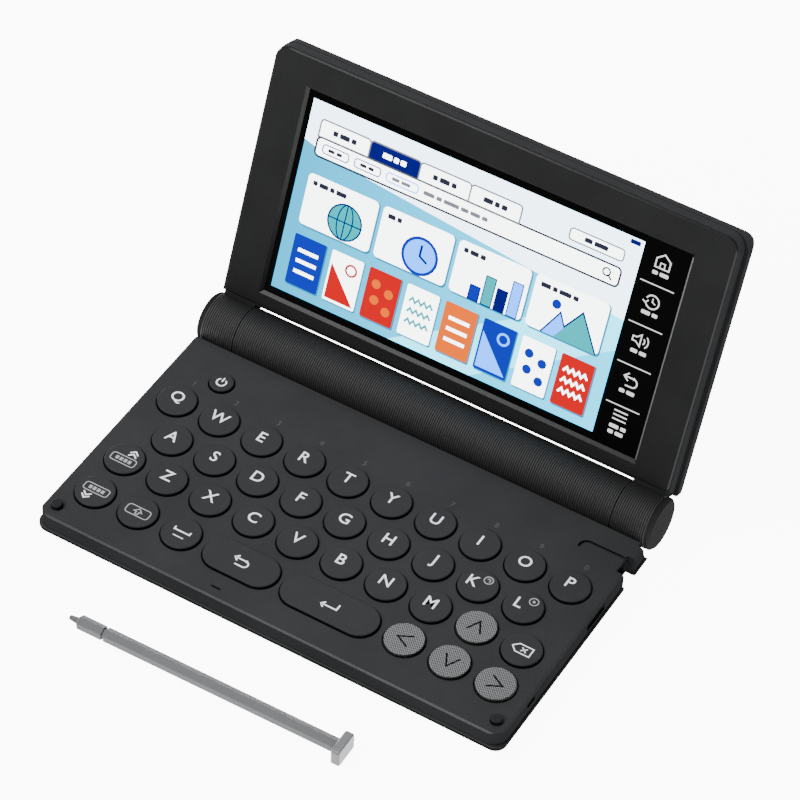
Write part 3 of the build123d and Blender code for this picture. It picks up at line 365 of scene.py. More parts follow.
# painted shade: the keys' side walls are darkened by the share for walls
KEYS = grained("key_plastic", grey(0.0145), grey(0.0185), 0.52, grain=0.12, specular=0.04,
               wall_shade=0.12)
ARROWS = meshed("arrow_print", grey(0.125), grey(0.006), grey(0.006))
RUBBER = grained("black_rubber", grey(0.006), grey(0.009), 0.75, grain=0.3, specular=0.04)
# painted shadow: the bumpers' upright sides are darkened by the share for walls
BUMPER = grained("bumper_rubber", grey(0.010), grey(0.014), 0.7, grain=0.3, specular=0.02,
                 wall_shade=0.15)
SILICONE = grained("grey_silicone", grey(0.16), grey(0.2), 0.6, grain=0.3)
BOARD = grained("board_green", (0.004, 0.05, 0.02, 1), (0.008, 0.09, 0.035, 1), 0.35, grain=0.5)
STEEL = grained("plain_steel", grey(0.32), grey(0.42), 0.3, metal=1.0)
SPEAKER = grained("speaker_black", grey(0.012), grey(0.02), 0.4, metal=0.4)
JACK = grained("jack_black", grey(0.006), grey(0.01), 0.35)
CELLS = grained("cell_jacket", grey(0.2), grey(0.28), 0.3, metal=0.6)
PANEL = grained("panel_black", grey(0.0002), grey(0.0003), 0.12, depth=0.0005, cloud=30,
                specular=0.004)
DISPLAY = grained("display_frame", grey(0.03), grey(0.05), 0.3)
# painted shade: the stylus is darker on faces that turn away from its upper side
STYLUS = grained("stylus_grey", grey(0.067), grey(0.079), 0.42, grain=0.06, specular=0.05,
                 wall_shade=0.42, top=(0, 0.26, 0.97))
# painted shade: the stylus head's upright faces are darkened by the share for walls
STYLUS_HEAD = grained("stylus_light_grey", grey(0.095), grey(0.113), 0.4, specular=0.1,
                      wall_shade=0.45)

NODE_LOOKS = {
    "bottom_case": TRAY, "top_case": CASE, "lid_back": LID, "lid_bezel": BEZEL,
    "barrel_tube": BARREL, "hinge_knuckles": KNUCKLE, "battery_door": BARREL,
    "rubber_feet": RUBBER, "lid_bumpers": BUMPER, "keypad_sheet": SILICONE,
    "main_board": BOARD, "case_screws": STEEL, "hinge_pins": STEEL,
    "battery_contacts": STEEL, "usb_port": STEEL, "speaker": SPEAKER,
    "earphone_jack": JACK, "batteries": CELLS, "touch_panel": PANEL,
    "lcd_module": DISPLAY, "stylus_shaft": STYLUS, "stylus_head": STYLUS_HEAD,
}
for node in frame["nodes"]:
    if node.startswith("key_arrow"):
        dress(node, ARROWS)
    else:
        dress(node, NODE_LOOKS.get(node, KEYS))

LEGEND = grained("legend_print", grey(0.52), grey(0.62), 0.5, grain=0.1, depth=0.003)
FINE_LEGEND = grained("fine_legend_print", grey(0.2), grey(0.25), 0.5, grain=0.1, depth=0.003,
                      specular=0.1)
FAINT = grained("numeral_print", grey(0.042), grey(0.052), 0.5, grain=0.1, depth=0.003,
                specular=0.0)
ARROW_MARK = grained("arrow_mark_print", grey(0.003), grey(0.004), 0.6, grain=0.1,
                     depth=0.003, specular=0.0)

SKY = faded("screen_sky", (0.0, 1.0, 1.75, 1), (0.01, 2.1, 3.3, 1))
PALE = lit("screen_pale", (4.3, 5.4, 6.4, 1))
BAND = lit("screen_band", (0.4, 3.4, 4.6, 1))
WHITE = lit("screen_white", (6.6, 6.8, 7.0, 1))
SHADE = lit("screen_shade", (0.0, 0.5, 0.95, 1))
LINE = lit("screen_line", (0.035, 0.04, 0.08, 1))
GREY = lit("screen_grey", (0.33, 0.36, 0.44, 1))
NAVY = lit("screen_navy", (0.005, 0.003, 0.27, 1))
BLUE = lit("screen_blue", (0.0, 0.03, 0.8, 1))
TEAL = lit("screen_teal", (0.0, 0.9, 1.0, 1))
LIGHT_BLUE = lit("screen_light_blue", (0.15, 1.2, 5.2, 1))
RED = lit("screen_red", (1.1, 0.0, 0.008, 1))
ORANGE = lit("screen_orange", (1.8, 0.26, 0.0, 1))
STRIP_MARK = lit("strip_mark", (1.5, 1.5, 1.5, 1))
STRIP_BLACK = lit("strip_black", (0.0008, 0.0008, 0.0009, 1))


# drawing of thin closed plates, in millimetres on a flat place


def on_lid(depth):
    """A place on the lid: across, up from the hinge, and out of the face from a depth."""
    def place(x, u, height):
        return HINGE + (Vector((x, 0, 0)) + LID_UP * u + LID_OUT * (height - depth)) * MM

    return place


def on_node(node):
    """A place on the top of a node, from the middle of its box."""
    low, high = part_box(node)
    middle = (low + high) / 2

    def place(x, y, height):
        return Vector((middle.x + x * MM, middle.y + y * MM, high.z + height * MM))

    return place


def add_plate(mesh, place, outline, low=0.0, high=PRINT_T):
    bottom = [mesh.verts.new(place(x, y, low)) for x, y in outline]
    top = [mesh.verts.new(place(x, y, high)) for x, y in outline]
    mesh.faces.new(top)
    mesh.faces.new(bottom[::-1])
    for i in range(len(outline)):
        j = (i + 1) % len(outline)
        mesh.faces.new((bottom[i], bottom[j], top[j], top[i]))


def add_stroke(mesh, place, points, width, closed=False, low=0.0, high=PRINT_T):
    """A line of even width through flat points, with mitred corners."""
    count = len(points)
    rings = []
    for i, (x, y) in enumerate(points):
        before = points[i - 1] if closed or i else None
        after = points[(i + 1) % count] if closed or i < count - 1 else None
        ways = []
        if before:
            ways.append(Vector((x - before[0], y - before[1])).normalized())
        if after:
            ways.append(Vector((after[0] - x, after[1] - y)).normalized())
        normals = [Vector((-way.y, way.x)) for way in ways]
        side = sum(normals, Vector((0, 0))).normalized()
        reach = width / 2 / max(side.dot(normals[0]), 0.4)
        corners = ((1, low), (-1, low), (-1, high), (1, high))
        rings.append([mesh.verts.new(place(x + side.x * reach * sign,
                                           y + side.y * reach * sign, level))
                      for sign, level in corners])
    pairs = zip(rings, rings[1:] + (rings[:1] if closed else []))
    for one, two in pairs:
        for k in range(4):
            m = (k + 1) % 4
            mesh.faces.new((one[k], one[m], two[m], two[k]))
    if not closed:
        mesh.faces.new(rings[0][::-1])
        mesh.faces.new(rings[-1])


def arc(cx, cy, radius, start=0.0, end=360.0, steps=STROKE_STEPS):
    """Points round an arc, without the last one where it is a whole circle."""
    whole = abs(end - start) >= 360
    count = steps if whole else steps + 1
    return [(cx + radius * math.cos(math.radians(start + (end - start) * i / steps)),
             cy + radius * math.sin(math.radians(start + (end - start) * i / steps)))
            for i in range(count)]


def rounded(x0, x1, y0, y1, radius, steps=5):
    """A rectangle's outline with round corners."""
    corners = ((x1 - radius, y0 + radius, -90), (x1 - radius, y1 - radius, 0),
               (x0 + radius, y1 - radius, 90), (x0 + radius, y0 + radius, 180))
    return [point for cx, cy, start in corners
            for point in arc(cx, cy, radius, start, start + 90, steps)]


def add_words(mesh, place, words, size, at=(0.0, 0.0), weight=0.0):
    """Letters or digits, centred on a point by their own outline."""
    curve = bpy.data.curves.new("words", "FONT")
    curve.body = words
    curve.size = size
    curve.offset = weight
    curve.extrude = PRINT_T / 2
    curve.resolution_u = 4
    holder = bpy.data.objects.new("words", curve)
    bpy.context.scene.collection.objects.link(holder)
    shapes = bpy.context.evaluated_depsgraph_get()
    made = bpy.data.meshes.new_from_object(holder.evaluated_get(shapes))
    across = [v.co.x for v in made.vertices]
    upward = [v.co.y for v in made.vertices]
    middle_x = (min(across) + max(across)) / 2
    middle_y = (min(upward) + max(upward)) / 2
    for vertex in made.vertices:
        x, y, z = vertex.co
        vertex.co = place(at[0] + x - middle_x, at[1] + y - middle_y, z + PRINT_T / 2)
    mesh.from_mesh(made)
    bpy.data.meshes.remove(made)
    bpy.data.objects.remove(holder)
    bpy.data.curves.remove(curve)


def finish_piece(name, mesh, look, body, smooth=False):
    bmesh.ops.recalc_face_normals(mesh, faces=mesh.faces[:])
    data = bpy.data.meshes.new(name)
    mesh.to_mesh(data)
    mesh.free()
    data.materials.append(look)
    for face in data.polygons:
        face.use_smooth = smooth
    piece = bpy.data.objects.new(name, data)
    bpy.context.scene.collection.objects.link(piece)
    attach(piece, body)
    return piece


# ribs round the barrel


def ribbed_sleeve(name, x_from, x_to, arc_from, arc_to, body):
    """A thin sleeve with fine ribs. Angles start straight down and turn towards +y."""
    mesh = bmesh.new()
    count = round((x_to - x_from) / RIB_PITCH)
    pitch = (x_to - x_from) / count
    profile = [(x_from, RIB_ROOT), (x_from, RIB_FOOT)]
    for i in range(1, count * RIB_SAMPLES):
        swing = (1 - math.cos(2 * math.pi * i / RIB_SAMPLES)) / 2
        profile.append((x_from + pitch * i / RIB_SAMPLES, RIB_FOOT + RIB_HEIGHT * swing))
    profile += [(x_to, RIB_FOOT), (x_to, RIB_ROOT)]
    whole = arc_to - arc_from >= 2 * math.pi - 1e-6
    stations = RIB_TURN_STEPS if whole else RIB_TURN_STEPS + 1
    rings = []
    for i in range(stations):
        turn = arc_from + (arc_to - arc_from) * i / RIB_TURN_STEPS
        rings.append([mesh.verts.new(HINGE + Vector((
            x, (BARREL_R + lift) * math.sin(turn), -(BARREL_R + lift) * math.cos(turn))) * MM)
            for x, lift in profile])
    for one, two in zip(rings, rings[1:] + (rings[:1] if whole else [])):
        for k in range(len(profile)):
            m = (k + 1) % len(profile)
            mesh.faces.new((one[k], one[m], two[m], two[k]))
    if not whole:
        mesh.faces.new(rings[0])
        mesh.faces.new(rings[-1][::-1])
    return finish_piece(name, mesh, RIBS, body, smooth=True)


ribbed_sleeve("barrel_ribs", -TUBE_HALF_LENGTH - RIB_EDGE, TUBE_HALF_LENGTH + RIB_EDGE,
              RIB_DOOR_ARC, 2 * math.pi - RIB_DOOR_ARC, "base")
for side, name in ((-1, "knuckle_ribs_left"), (1, "knuckle_ribs_right")):
    ends = sorted((side * (KNUCKLE_INNER_X - RIB_EDGE), side * (KNUCKLE_OUTER_X - RIB_END_BAND)))
    ribbed_sleeve(name, *ends, 0.0, 2 * math.pi, "lid")


# printing on the keys
LETTER_SIZE = 4.7
LETTER_WEIGHT = 0.035
LETTER_AT = (-0.45, 0.9)
MARKED_LETTERS = {"k": (-1.7, 0.6), "l": (-1.5, 0.6)}
MARK_AT = (1.5, 2.6)
MARK_R = 1.15
ICON_STROKE = 0.42
FINE_STROKE = 0.28


def start_legend(key):
    return bmesh.new(), on_node(key)


def finish_legend(key, mesh, look=LEGEND, prefix="legend_"):
    finish_piece(key.replace("key_", prefix), mesh, look, key)


for letter in "qwertyuiopasdfghjklzxcvbnm":
    key = "key_" + letter
    mesh, place = start_legend(key)
    at = MARKED_LETTERS.get(letter, LETTER_AT)
    add_words(mesh, place, letter.upper(), LETTER_SIZE, at, LETTER_WEIGHT)
    finish_legend(key, mesh)
    if letter in MARKED_LETTERS:
        mesh, place = start_legend(key)
        add_stroke(mesh, place, arc(*MARK_AT, MARK_R), FINE_STROKE, closed=True)
        if letter == "k":
            add_stroke(mesh, place, arc(*MARK_AT, MARK_R * 0.4, -60, 160, 8), FINE_STROKE)
        else:
            add_plate(mesh, place, arc(*MARK_AT, MARK_R * 0.35, steps=10))
        finish_legend(key, mesh, FINE_LEGEND, "mark_")

key = "key_power"
mesh, place = start_legend(key)
add_stroke(mesh, place, arc(0, -0.1, 1.25, 125, 415), ICON_STROKE)
add_stroke(mesh, place, [(0, 0.1), (0, 1.6)], ICON_STROKE)
finish_legend(key, mesh)


def add_box_mark(mesh, place, cx, cy, width, height):
    add_stroke(mesh, place, rounded(cx - width / 2, cx + width / 2, cy - height / 2,
                                    cy + height / 2, height * 0.3), FINE_STROKE, closed=True)


def add_chevron(mesh, place, cx, cy, reach, rise, width=ICON_STROKE, turn=0.0):
    """An open arrowhead: its point is turned from straight up by an angle in degrees."""
    c, s = math.cos(math.radians(turn)), math.sin(math.radians(turn))
    shape = ((-reach, -rise / 2), (0, rise / 2), (reach, -rise / 2))
    add_stroke(mesh, place, [(cx + x * c - y * s, cy + x * s + y * c) for x, y in shape], width)


def add_blocks(mesh, place, cx, cy, width, height, count):
    """A row of small blocks in place of a word."""
    pitch = width / count
    for i in range(count):
        left = cx - width / 2 + pitch * i
        add_plate(mesh, place, [(left, cy - height / 2), (left + pitch * 0.72, cy - height / 2),
                                (left + pitch * 0.72, cy + height / 2), (left, cy + height / 2)])


for key, sign in (("key_page_up", 1), ("key_page_down", -1)):
    mesh, place = start_legend(key)
    add_box_mark(mesh, place, 0, -sign * 0.6, 7.0, 2.5)
    add_blocks(mesh, place, 0.2, -sign * 0.6, 4.8, 1.1, 4)
    finish_legend(key, mesh, FINE_LEGEND, "box_")
    mesh, place = start_legend(key)
    for step in (0.0, 1.0):
        add_chevron(mesh, place, sign * 1.3, sign * (1.8 + step), 1.15, 1.0, 0.4,
                    turn=0 if sign > 0 else 180)
    finish_legend(key, mesh)

mesh, place = start_legend("key_shift")
add_box_mark(mesh, place, 0, 0, 6.6, 2.9)
add_stroke(mesh, place, [(-0.4, -0.95), (-0.4, -0.1), (-1.1, -0.1), (0, 1.0), (1.1, -0.1),
                         (0.4, -0.1), (0.4, -0.95)], FINE_STROKE, closed=True)
finish_legend("key_shift", mesh, FINE_LEGEND)

mesh, place = start_legend("key_space")
add_stroke(mesh, place, [(-2.2, 1.2), (-2.2, 0.3), (2.2, 0.3), (2.2, 1.2)], ICON_STROKE)
add_stroke(mesh, place, [(-1.5, -1.5), (1.5, -1.5)], FINE_STROKE)
finish_legend("key_space", mesh)

mesh, place = start_legend("key_back")
add_stroke(mesh, place, [(-2.0, 0.7), (1.0, 0.7)] + arc(1.0, -0.3, 1.0, 90, -90, 10)
           + [(-1.2, -1.3)], ICON_STROKE)
add_chevron(mesh, place, -1.7, 0.7, 0.9, 0.9, turn=90)
finish_legend("key_back", mesh)

mesh, place = start_legend("key_enter")
add_stroke(mesh, place, [(2.2, 1.2), (2.2, -0.6), (-2.0, -0.6)], ICON_STROKE)
add_chevron(mesh, place, -1.7, -0.6, 0.9, 0.9, turn=90)
finish_legend("key_enter", mesh)

mesh, place = start_legend("key_delete")
add_stroke(mesh, place, [(-2.6, 0), (-1.2, 1.35), (2.6, 1.35), (2.6, -1.35), (-1.2, -1.35)],
           ICON_STROKE * 0.8, closed=True)
for rise in (-1, 1):
    add_stroke(mesh, place, [(-0.1, -0.6 * rise), (1.3, 0.6 * rise)], ICON_STROKE * 0.8)
finish_legend("key_delete", mesh)

for way, turn in (("up", 0), ("left", 90), ("down", 180), ("right", -90)):
    key = "key_arrow_" + way
    mesh, place = start_legend(key)
    add_chevron(mesh, place, 0, 0, 1.9, 3.6, 0.45, turn)
    finish_legend(key, mesh, ARROW_MARK)

# digits on the deck behind the first row
DIGIT_SIZE = 2.3
DIGIT_UP = 7.9
DECK_BELOW_KEY = 0.75

mesh = bmesh.new()
for letter, digit in zip("qwertyuiop", "1234567890"):
    add_words(mesh, on_node("key_" + letter), digit, DIGIT_SIZE, (0.2, DIGIT_UP))
bmesh.ops.translate(mesh, vec=(0, 0, -DECK_BELOW_KEY * MM), verts=mesh.verts[:])
finish_piece("deck_digits", mesh, FAINT, "base")


# the lit picture behind the glass


class Picture:
    """Flat shapes on the display, gathered into one piece for each tone."""

    def __init__(self):
        self.meshes = {}

    def place(self, look, level):
        mesh = self.meshes.setdefault(look.name, (bmesh.new(), look))[0]
        return mesh, on_lid(GLASS_DEPTH - level * LAYER)

    def plate(self, look, level, outline):
        mesh, place = self.place(look, level)
        add_plate(mesh, place, outline, 0.0, LAYER)

    def stroke(self, look, level, points, width, closed=False):
        mesh, place = self.place(look, level)
        add_stroke(mesh, place, points, width, closed, 0.0, LAYER)

    def finish(self):
        for name, (mesh, look) in self.meshes.items():
            finish_piece(name.replace("screen", "picture"), mesh, look, "lid")


def boxed(x0, x1, u0, u1):
    return [(x0, u0), (x1, u0), (x1, u1), (x0, u1)]


def word_bars(level, left, u, widths, height, look=None, gap=0.55):
    """A line of plain bars, one for each word, that stands in for writing."""
    for width in widths:
        picture.plate(look or LINE, level, rounded(left, left + width, u - height / 2,
                                                   u + height / 2, 0.3))
        left += width + gap


picture = Picture()
x0, x1, u0, u1 = SCREEN
picture.plate(SKY, 0, boxed(*SCREEN))
picture.plate(BAND, 1, [(-18.0, u0), (6.0, u0), (x1, 38.0), (x1, 52.0)])
picture.plate(PALE, 2, [(x0, 57.0), (-44.0, 54.6), (x1, 46.5), (x1, u1), (x0, u1)])

# tabs and search bar
BAR = (-49.6, 38.0, 54.0, 59.2)
BAR_CORNER_R = 1.2
BAR_STROKE = 0.55
BAR_WORDS = (3.2, 1.6, 4.4, 2.2, 2.8, 1.6)
BAR_WORDS_X = -18.0
BAR_MIDDLE_U = 56.6
TAB_TOP = 64.1
TAB_WIDTH = 14.6
TAB_CORNER_R = 1
TAB_STROKE = 0.45
TAB_WORDS = ((1.4, 2.9, 1.4), (2.7, 1.4, 1.6))
TAB_WORDS_AT = (3.9, 61.6)
ACTIVE_TAB = 1
CHIP_WIDTHS = (7.6, 7.6, 9.2)
CHIP_PITCH = 9.4
CHIP_INSET = 2.0
CHIP_U = (55.4, 57.8)
CHIP_WORDS = ((1.9, 1.6), (1.9, 1.6), (2.2, 2.6))
LENS_AT = (34.3, 56.9)
SETTINGS = (22.4, 37.6, 61.0, 64.2)
SETTINGS_WORDS_AT = (26.6, 62.6)
STATUS = (38.2, 41.0, 66.7, 67.9)

for i in range(4):
    left = BAR[0] + i * TAB_WIDTH
    outline = ([(left, BAR[3]), (left + TAB_WIDTH, BAR[3])]
               + arc(left + TAB_WIDTH - TAB_CORNER_R, TAB_TOP - TAB_CORNER_R, TAB_CORNER_R,
                     0, 90, 5)
               + arc(left + TAB_CORNER_R, TAB_TOP - TAB_CORNER_R, TAB_CORNER_R, 90, 180, 5))
    active = i == ACTIVE_TAB
    picture.plate(NAVY if active else WHITE, 3, outline)
    picture.stroke(GREY, 4, outline, TAB_STROKE, closed=True)
    word_bars(5, left + TAB_WORDS_AT[0], TAB_WORDS_AT[1], TAB_WORDS[i % 2], 1.4,
              WHITE if active else LINE)
picture.plate(WHITE, 3, rounded(*BAR, BAR_CORNER_R))
picture.stroke(LINE, 4, rounded(*BAR, BAR_CORNER_R), BAR_STROKE, closed=True)
for i, (wide, words) in enumerate(zip(CHIP_WIDTHS, CHIP_WORDS)):
    left = BAR[0] + CHIP_INSET + i * CHIP_PITCH
    dim = i == len(CHIP_WIDTHS) - 1
    picture.stroke(LIGHT_BLUE if dim else BLUE, 5, rounded(left, left + wide, *CHIP_U, 0.8),
                   0.34, closed=True)
    word_bars(5, left + 1.6, BAR_MIDDLE_U, words, 0.9, GREY if dim else LINE)
picture.stroke(LINE, 5, arc(*LENS_AT, 1.0), 0.45, closed=True)
picture.stroke(LINE, 5, [(LENS_AT[0] + 0.7, LENS_AT[1] - 0.7),
                         (LENS_AT[0] + 1.7, LENS_AT[1] - 1.7)], 0.5)
word_bars(5, BAR_WORDS_X, BAR_MIDDLE_U, BAR_WORDS, 1.1, GREY)
picture.plate(WHITE, 3, rounded(*SETTINGS, 0.9))
picture.stroke(GREY, 4, rounded(*SETTINGS, 0.9), 0.4, closed=True)
word_bars(5, *SETTINGS_WORDS_AT, (2.2, 3.8), 1.3)
picture.plate(NAVY, 5, boxed(*STATUS))

# cards
CARD_WIDTH = 20.8
CARD_PITCH = 22.2
CARD_U = (34.6, 49.0)
CARD_LEFT = -49.6
CARD_CORNER_R = 1.3
HEADINGS = ((1.3, 2.6, 1.3, 3.0), (2.2, 1.3), (1.3, 2.4, 1.5), (2.8, 1.3, 3.4, 1.5))
HEADING_AT = (1.6, 2.3)
MOTIF_X = CARD_WIDTH / 2 + 2.2
GLOBE_R = 4.9
CHART_BARS = ((4.0, BLUE), (8.0, TEAL), (6.0, NAVY), (9.6, LIGHT_BLUE))
CARD_FOOT = 5.2


def card_globe(cx, cu):
    picture.plate(TEAL, 6, arc(cx, cu, GLOBE_R))
    picture.stroke(NAVY, 7, arc(cx, cu, GLOBE_R), 0.45, closed=True)
    meridian = [(cx + 0.45 * x, y) for x, y in arc(0, cu, GLOBE_R)]
    picture.stroke(NAVY, 7, meridian, 0.32, closed=True)
    picture.stroke(NAVY, 7, [(cx, cu - GLOBE_R), (cx, cu + GLOBE_R)], 0.32)
    picture.stroke(NAVY, 7, [(cx - GLOBE_R, cu), (cx + GLOBE_R, cu)], 0.32)


def card_clock(cx, cu):
    picture.plate(LIGHT_BLUE, 6, arc(cx, cu, GLOBE_R))
    picture.stroke(BLUE, 7, arc(cx, cu, GLOBE_R), 0.8, closed=True)
    picture.stroke(NAVY, 8, [(cx, cu + 3.1), (cx, cu), (cx + 2.3, cu - 1.2)], 0.6)


def card_chart(cx, cu):
    foot = cu - CARD_FOOT
    for i, (tall, look) in enumerate(CHART_BARS):
        left = cx - 7.0 + i * 3.7
        picture.plate(look, 6, boxed(left, left + 2.9, foot, foot + tall))
        picture.stroke(NAVY, 7, boxed(left, left + 2.9, foot, foot + tall), 0.3, closed=True)


def card_mountains(cx, cu):
    foot = cu - CARD_FOOT
    picture.plate(LIGHT_BLUE, 6, [(cx - 8, foot), (cx, foot), (cx - 4, cu + 1.8)])
    picture.plate(TEAL, 7, [(cx - 4.4, foot), (cx + 7.6, foot), (cx + 1.8, cu + 4.2)])
    picture.stroke(NAVY, 8, [(cx - 8, foot), (cx - 4, cu + 1.8), (cx - 2.2, cu - 1.5),
                             (cx + 1.8, cu + 4.2), (cx + 7.6, foot)], 0.45)
    picture.plate(BLUE, 8, arc(cx - 5.6, cu + 3.4, 1.3, steps=14))


for i, draw in enumerate((card_globe, card_clock, card_chart, card_mountains)):
    left = CARD_LEFT + i * CARD_PITCH
    low, high = CARD_U
    picture.plate(SHADE, 4, rounded(left + 0.4, left + CARD_WIDTH + 0.5, low - 0.5, high,
                                    CARD_CORNER_R))
    picture.plate(WHITE, 5, rounded(left, left + CARD_WIDTH, low, high, CARD_CORNER_R))
    word_bars(6, left + HEADING_AT[0], high - HEADING_AT[1], HEADINGS[i], 1.3)
    draw(left + MOTIF_X, low + CARD_FOOT)

# tiles
TILE_WIDTH = 9.4
TILE_PITCH = 11.2
TILE_U = (17.4, 31.6)
TILE_LOOKS = ((BLUE, WHITE), (WHITE, RED), (RED, ORANGE), (WHITE, TEAL),
              (ORANGE, WHITE), (BLUE, LIGHT_BLUE), (WHITE, BLUE), (RED, WHITE))


def tile_motif(kind, look, cx, cu):
    if kind == 0:
        for i in range(3):
            picture.stroke(look, 6, [(cx - 3, cu + 3 - 3 * i), (cx + 3, cu + 3 - 3 * i)], 1.0)
    elif kind == 1:
        picture.plate(look, 6, [(cx - 4.2, cu - 6.4), (cx + 4.2, cu - 6.4), (cx - 4.2, cu + 3.6)])
        picture.stroke(look, 6, arc(cx + 1.6, cu + 3.4, 1.5), 0.6, closed=True)
    elif kind == 2:
        for x, u in ((-2, 3), (2, 1.6), (-1.6, -1.4), (2.2, -3.4)):
            picture.plate(look, 6, arc(cx + x, cu + u, 1.3, steps=12))
    else:
        for i in range(3):
            zigzag = [(cx - 3.4 + 0.85 * k, cu + 3.2 - 3 * i + (0.6 if k % 2 else -0.6))
                      for k in range(9)]
            picture.stroke(look, 6, zigzag, 0.6)


for i, (ground, mark) in enumerate(TILE_LOOKS):
    left = CARD_LEFT + i * TILE_PITCH
    low, high = TILE_U
    picture.plate(SHADE, 4, rounded(left + 0.3, left + TILE_WIDTH + 0.4, low - 0.4, high, 0.5))
    picture.plate(ground, 5, rounded(left, left + TILE_WIDTH, low, high, 0.5))
    tile_motif(i % 4, mark, left + TILE_WIDTH / 2, (low + high) / 2)

# strip of touch icons beside the picture: each has its height and its strokes
STRIP_X = 47.8
SEPARATORS = (58.8, 47.3, 36.0, 24.5)
SEPARATOR_XS = (43.1, 52.5)
CAPTION_X = -2.2
CAPTION_DROP = 3.2
CAPTION_PITCH = 1.7
HOUSE = [(-1.9, -1.7), (-1.9, 0.6), (0, 2.1), (1.9, 0.6), (1.9, -1.7)]
DOOR = [(-0.6, -1.7), (-0.6, -0.3), (0.6, -0.3), (0.6, -1.7)]
CLOCK_HANDS = [(0, 1.0), (0, 0), (0.9, -0.4)]
CLOCK_ARROW = [(-2.6, -0.2), (-1.7, -0.7), (-1.1, 0.2)]
HORN = [(-2.4, -0.6), (-2.4, 0.6), (-1.4, 0.6), (-0.2, 1.6), (-0.2, -1.6), (-1.4, -0.6)]
BACK_HOOK = [(-1.6, 0.9), (0.8, 0.9)] + arc(0.8, -0.3, 1.2, 90, -90, 10) + [(-1.0, -1.5)]
BACK_POINT = [(-0.6, 2.0), (-1.8, 0.9), (-0.6, -0.2)]
ICONS = (
    (65.2, ((HOUSE, 0.38, True), (DOOR, 0.3, False))),
    (54.2, ((arc(0, 0, 1.8, 200, 520), 0.38, False), (CLOCK_HANDS, 0.32, False),
            (CLOCK_ARROW, 0.34, False))),
    (43.3, ((HORN, 0.34, True), (arc(-0.1, 0, 1.0, -48, 48, 8), 0.34, False),
            (arc(-0.1, 0, 2.0, -48, 48, 8), 0.34, False))),
    (31.9, ((BACK_HOOK, 0.38, False), (BACK_POINT, 0.38, False))),
    (21.8, tuple(([(-1.9, rise), (1.9, rise)], 0.38, False) for rise in (-1.2, 0.0, 1.2))),
)
CAPTIONS = ((1.5, 2.4), (2.4, 1.5), (1.9, 1.9), (1.5, 2.2), (2.6, 1.5))

picture.plate(STRIP_BLACK, 0, boxed(*STRIP))
for u in SEPARATORS:
    picture.stroke(STRIP_MARK, 1, [(x, u) for x in SEPARATOR_XS], 0.28)
for u, strokes in ICONS:
    for points, width, closed in strokes:
        picture.stroke(STRIP_MARK, 1, [(STRIP_X + x, u + y) for x, y in points], width, closed)
for i, (u, _) in enumerate(ICONS):
    for row in range(2 if i == len(ICONS) - 1 else 1):
        word_bars(1, STRIP_X + CAPTION_X, u - CAPTION_DROP - CAPTION_PITCH * row,
                  CAPTIONS[i - row], 1.0, STRIP_MARK)
picture.finish()


# painted highlight: a lighter strip laid on the right bevel of the aperture
LINE_DEPTHS = (1.5, 2.0)

mesh = bmesh.new()
profile = [(APERTURE_HALF_WIDTH + APERTURE_CHAMFER + FACE_DEPTH - depth, depth)
           for depth in LINE_DEPTHS]
profile += [(x - PRINT_T, depth - PRINT_T) for x, depth in profile[::-1]]
rings = [[mesh.verts.new(on_lid(depth)(x, u, 0.0)) for x, depth in profile]
         for u in APERTURE_UPS]
for k in range(4):
    m = (k + 1) % 4
    mesh.faces.new((rings[0][k], rings[0][m], rings[1][m], rings[1][k]))
mesh.faces.new(rings[0])
mesh.faces.new(rings[1][::-1])
finish_piece("aperture_painted_highlight_line", mesh, APERTURE_HIGHLIGHT, "lid")

# floor, light and camera


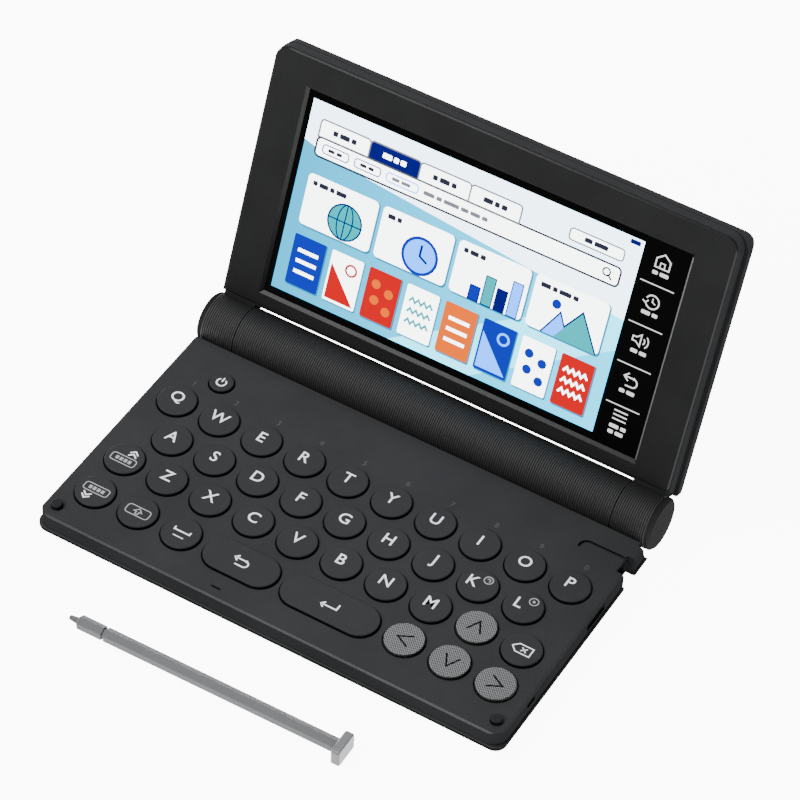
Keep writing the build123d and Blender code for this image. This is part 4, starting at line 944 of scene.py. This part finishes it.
def floor():
    """A pale table top, lit up round the object and calmer farther away."""
    mesh = bmesh.new()
    bmesh.ops.create_grid(mesh, x_segments=1, y_segments=1, size=FLOOR_SIZE)
    data = bpy.data.meshes.new("floor")
    mesh.to_mesh(data)
    mesh.free()
    look, nodes, links, shader = new_look("floor_white")
    where = nodes.new("ShaderNodeTexCoord").outputs["Object"]
    fine = noise(nodes, links, where, 40.0, 3.0)
    dark, light = ((value, value, value, 1) for value in FLOOR_TONES)
    links.new(ramp(nodes, links, fine, ((0.3, dark), (0.7, light))), shader.inputs["Base Color"])
    reach = nodes.new("ShaderNodeVectorMath")
    reach.operation = "LENGTH"
    links.new(where, reach.inputs[0])
    glow = nodes.new("ShaderNodeMapRange")
    glow.interpolation_type = "SMOOTHSTEP"
    for socket, value in (("From Min", FLOOR_GLOW_END), ("From Max", FLOOR_GLOW_START),
                          ("To Min", 0.0), ("To Max", FLOOR_GLOW)):
        glow.inputs[socket].default_value = value
    links.new(reach.outputs["Value"], glow.inputs["Value"])
    shader.inputs["Emission Color"].default_value = (1.0, 1.0, 1.0, 1.0)
    links.new(glow.outputs[0], shader.inputs["Emission Strength"])
    shader.inputs["Roughness"].default_value = 0.9
    shader.inputs["Specular IOR Level"].default_value = 0.0
    data.materials.append(look)
    made = bpy.data.objects.new("floor", data)
    made.location.z = -FLOOR_DROP
    bpy.context.scene.collection.objects.link(made)


def softbox(name, at, size, power):
    lamp = bpy.data.lights.new(name, "AREA")
    lamp.shape = "RECTANGLE"
    lamp.size, lamp.size_y = size
    lamp.energy = power
    made = bpy.data.objects.new(name, lamp)
    made.location = at
    made.rotation_euler = (LAMPS_AIM - Vector(at)).to_track_quat("-Z", "Y").to_euler()
    bpy.context.scene.collection.objects.link(made)


def camera():
    a, e, r = CAMERA_AZIMUTH, CAMERA_ELEVATION, CAMERA_ROLL
    back = Vector((math.sin(a) * math.cos(e), -math.cos(a) * math.cos(e), math.sin(e)))
    right = (-back).cross(Vector((0, 0, 1))).normalized()
    down = (-back).cross(right)
    turned_right = right * math.cos(r) + down * math.sin(r)
    turned_down = down * math.cos(r) - right * math.sin(r)
    data = bpy.data.cameras.new("camera")
    data.lens = CAMERA_LENS
    data.sensor_width = CAMERA_SENSOR
    made = bpy.data.objects.new("camera", data)
    axes = Matrix((turned_right, -turned_down, back)).transposed()
    made.matrix_world = Matrix.Translation(HINGE + CAMERA_FROM_HINGE) @ axes.to_4x4()
    bpy.context.scene.collection.objects.link(made)
    bpy.context.scene.camera = made


floor()
for lamp in LAMPS:
    softbox(*lamp)
world = bpy.data.worlds.new("studio")
world.use_nodes = True
world.node_tree.nodes["Background"].inputs["Color"].default_value = (1.0, 1.0, 1.0, 1.0)
world.node_tree.nodes["Background"].inputs["Strength"].default_value = ROOM_LIGHT
bpy.context.scene.world = world
camera()
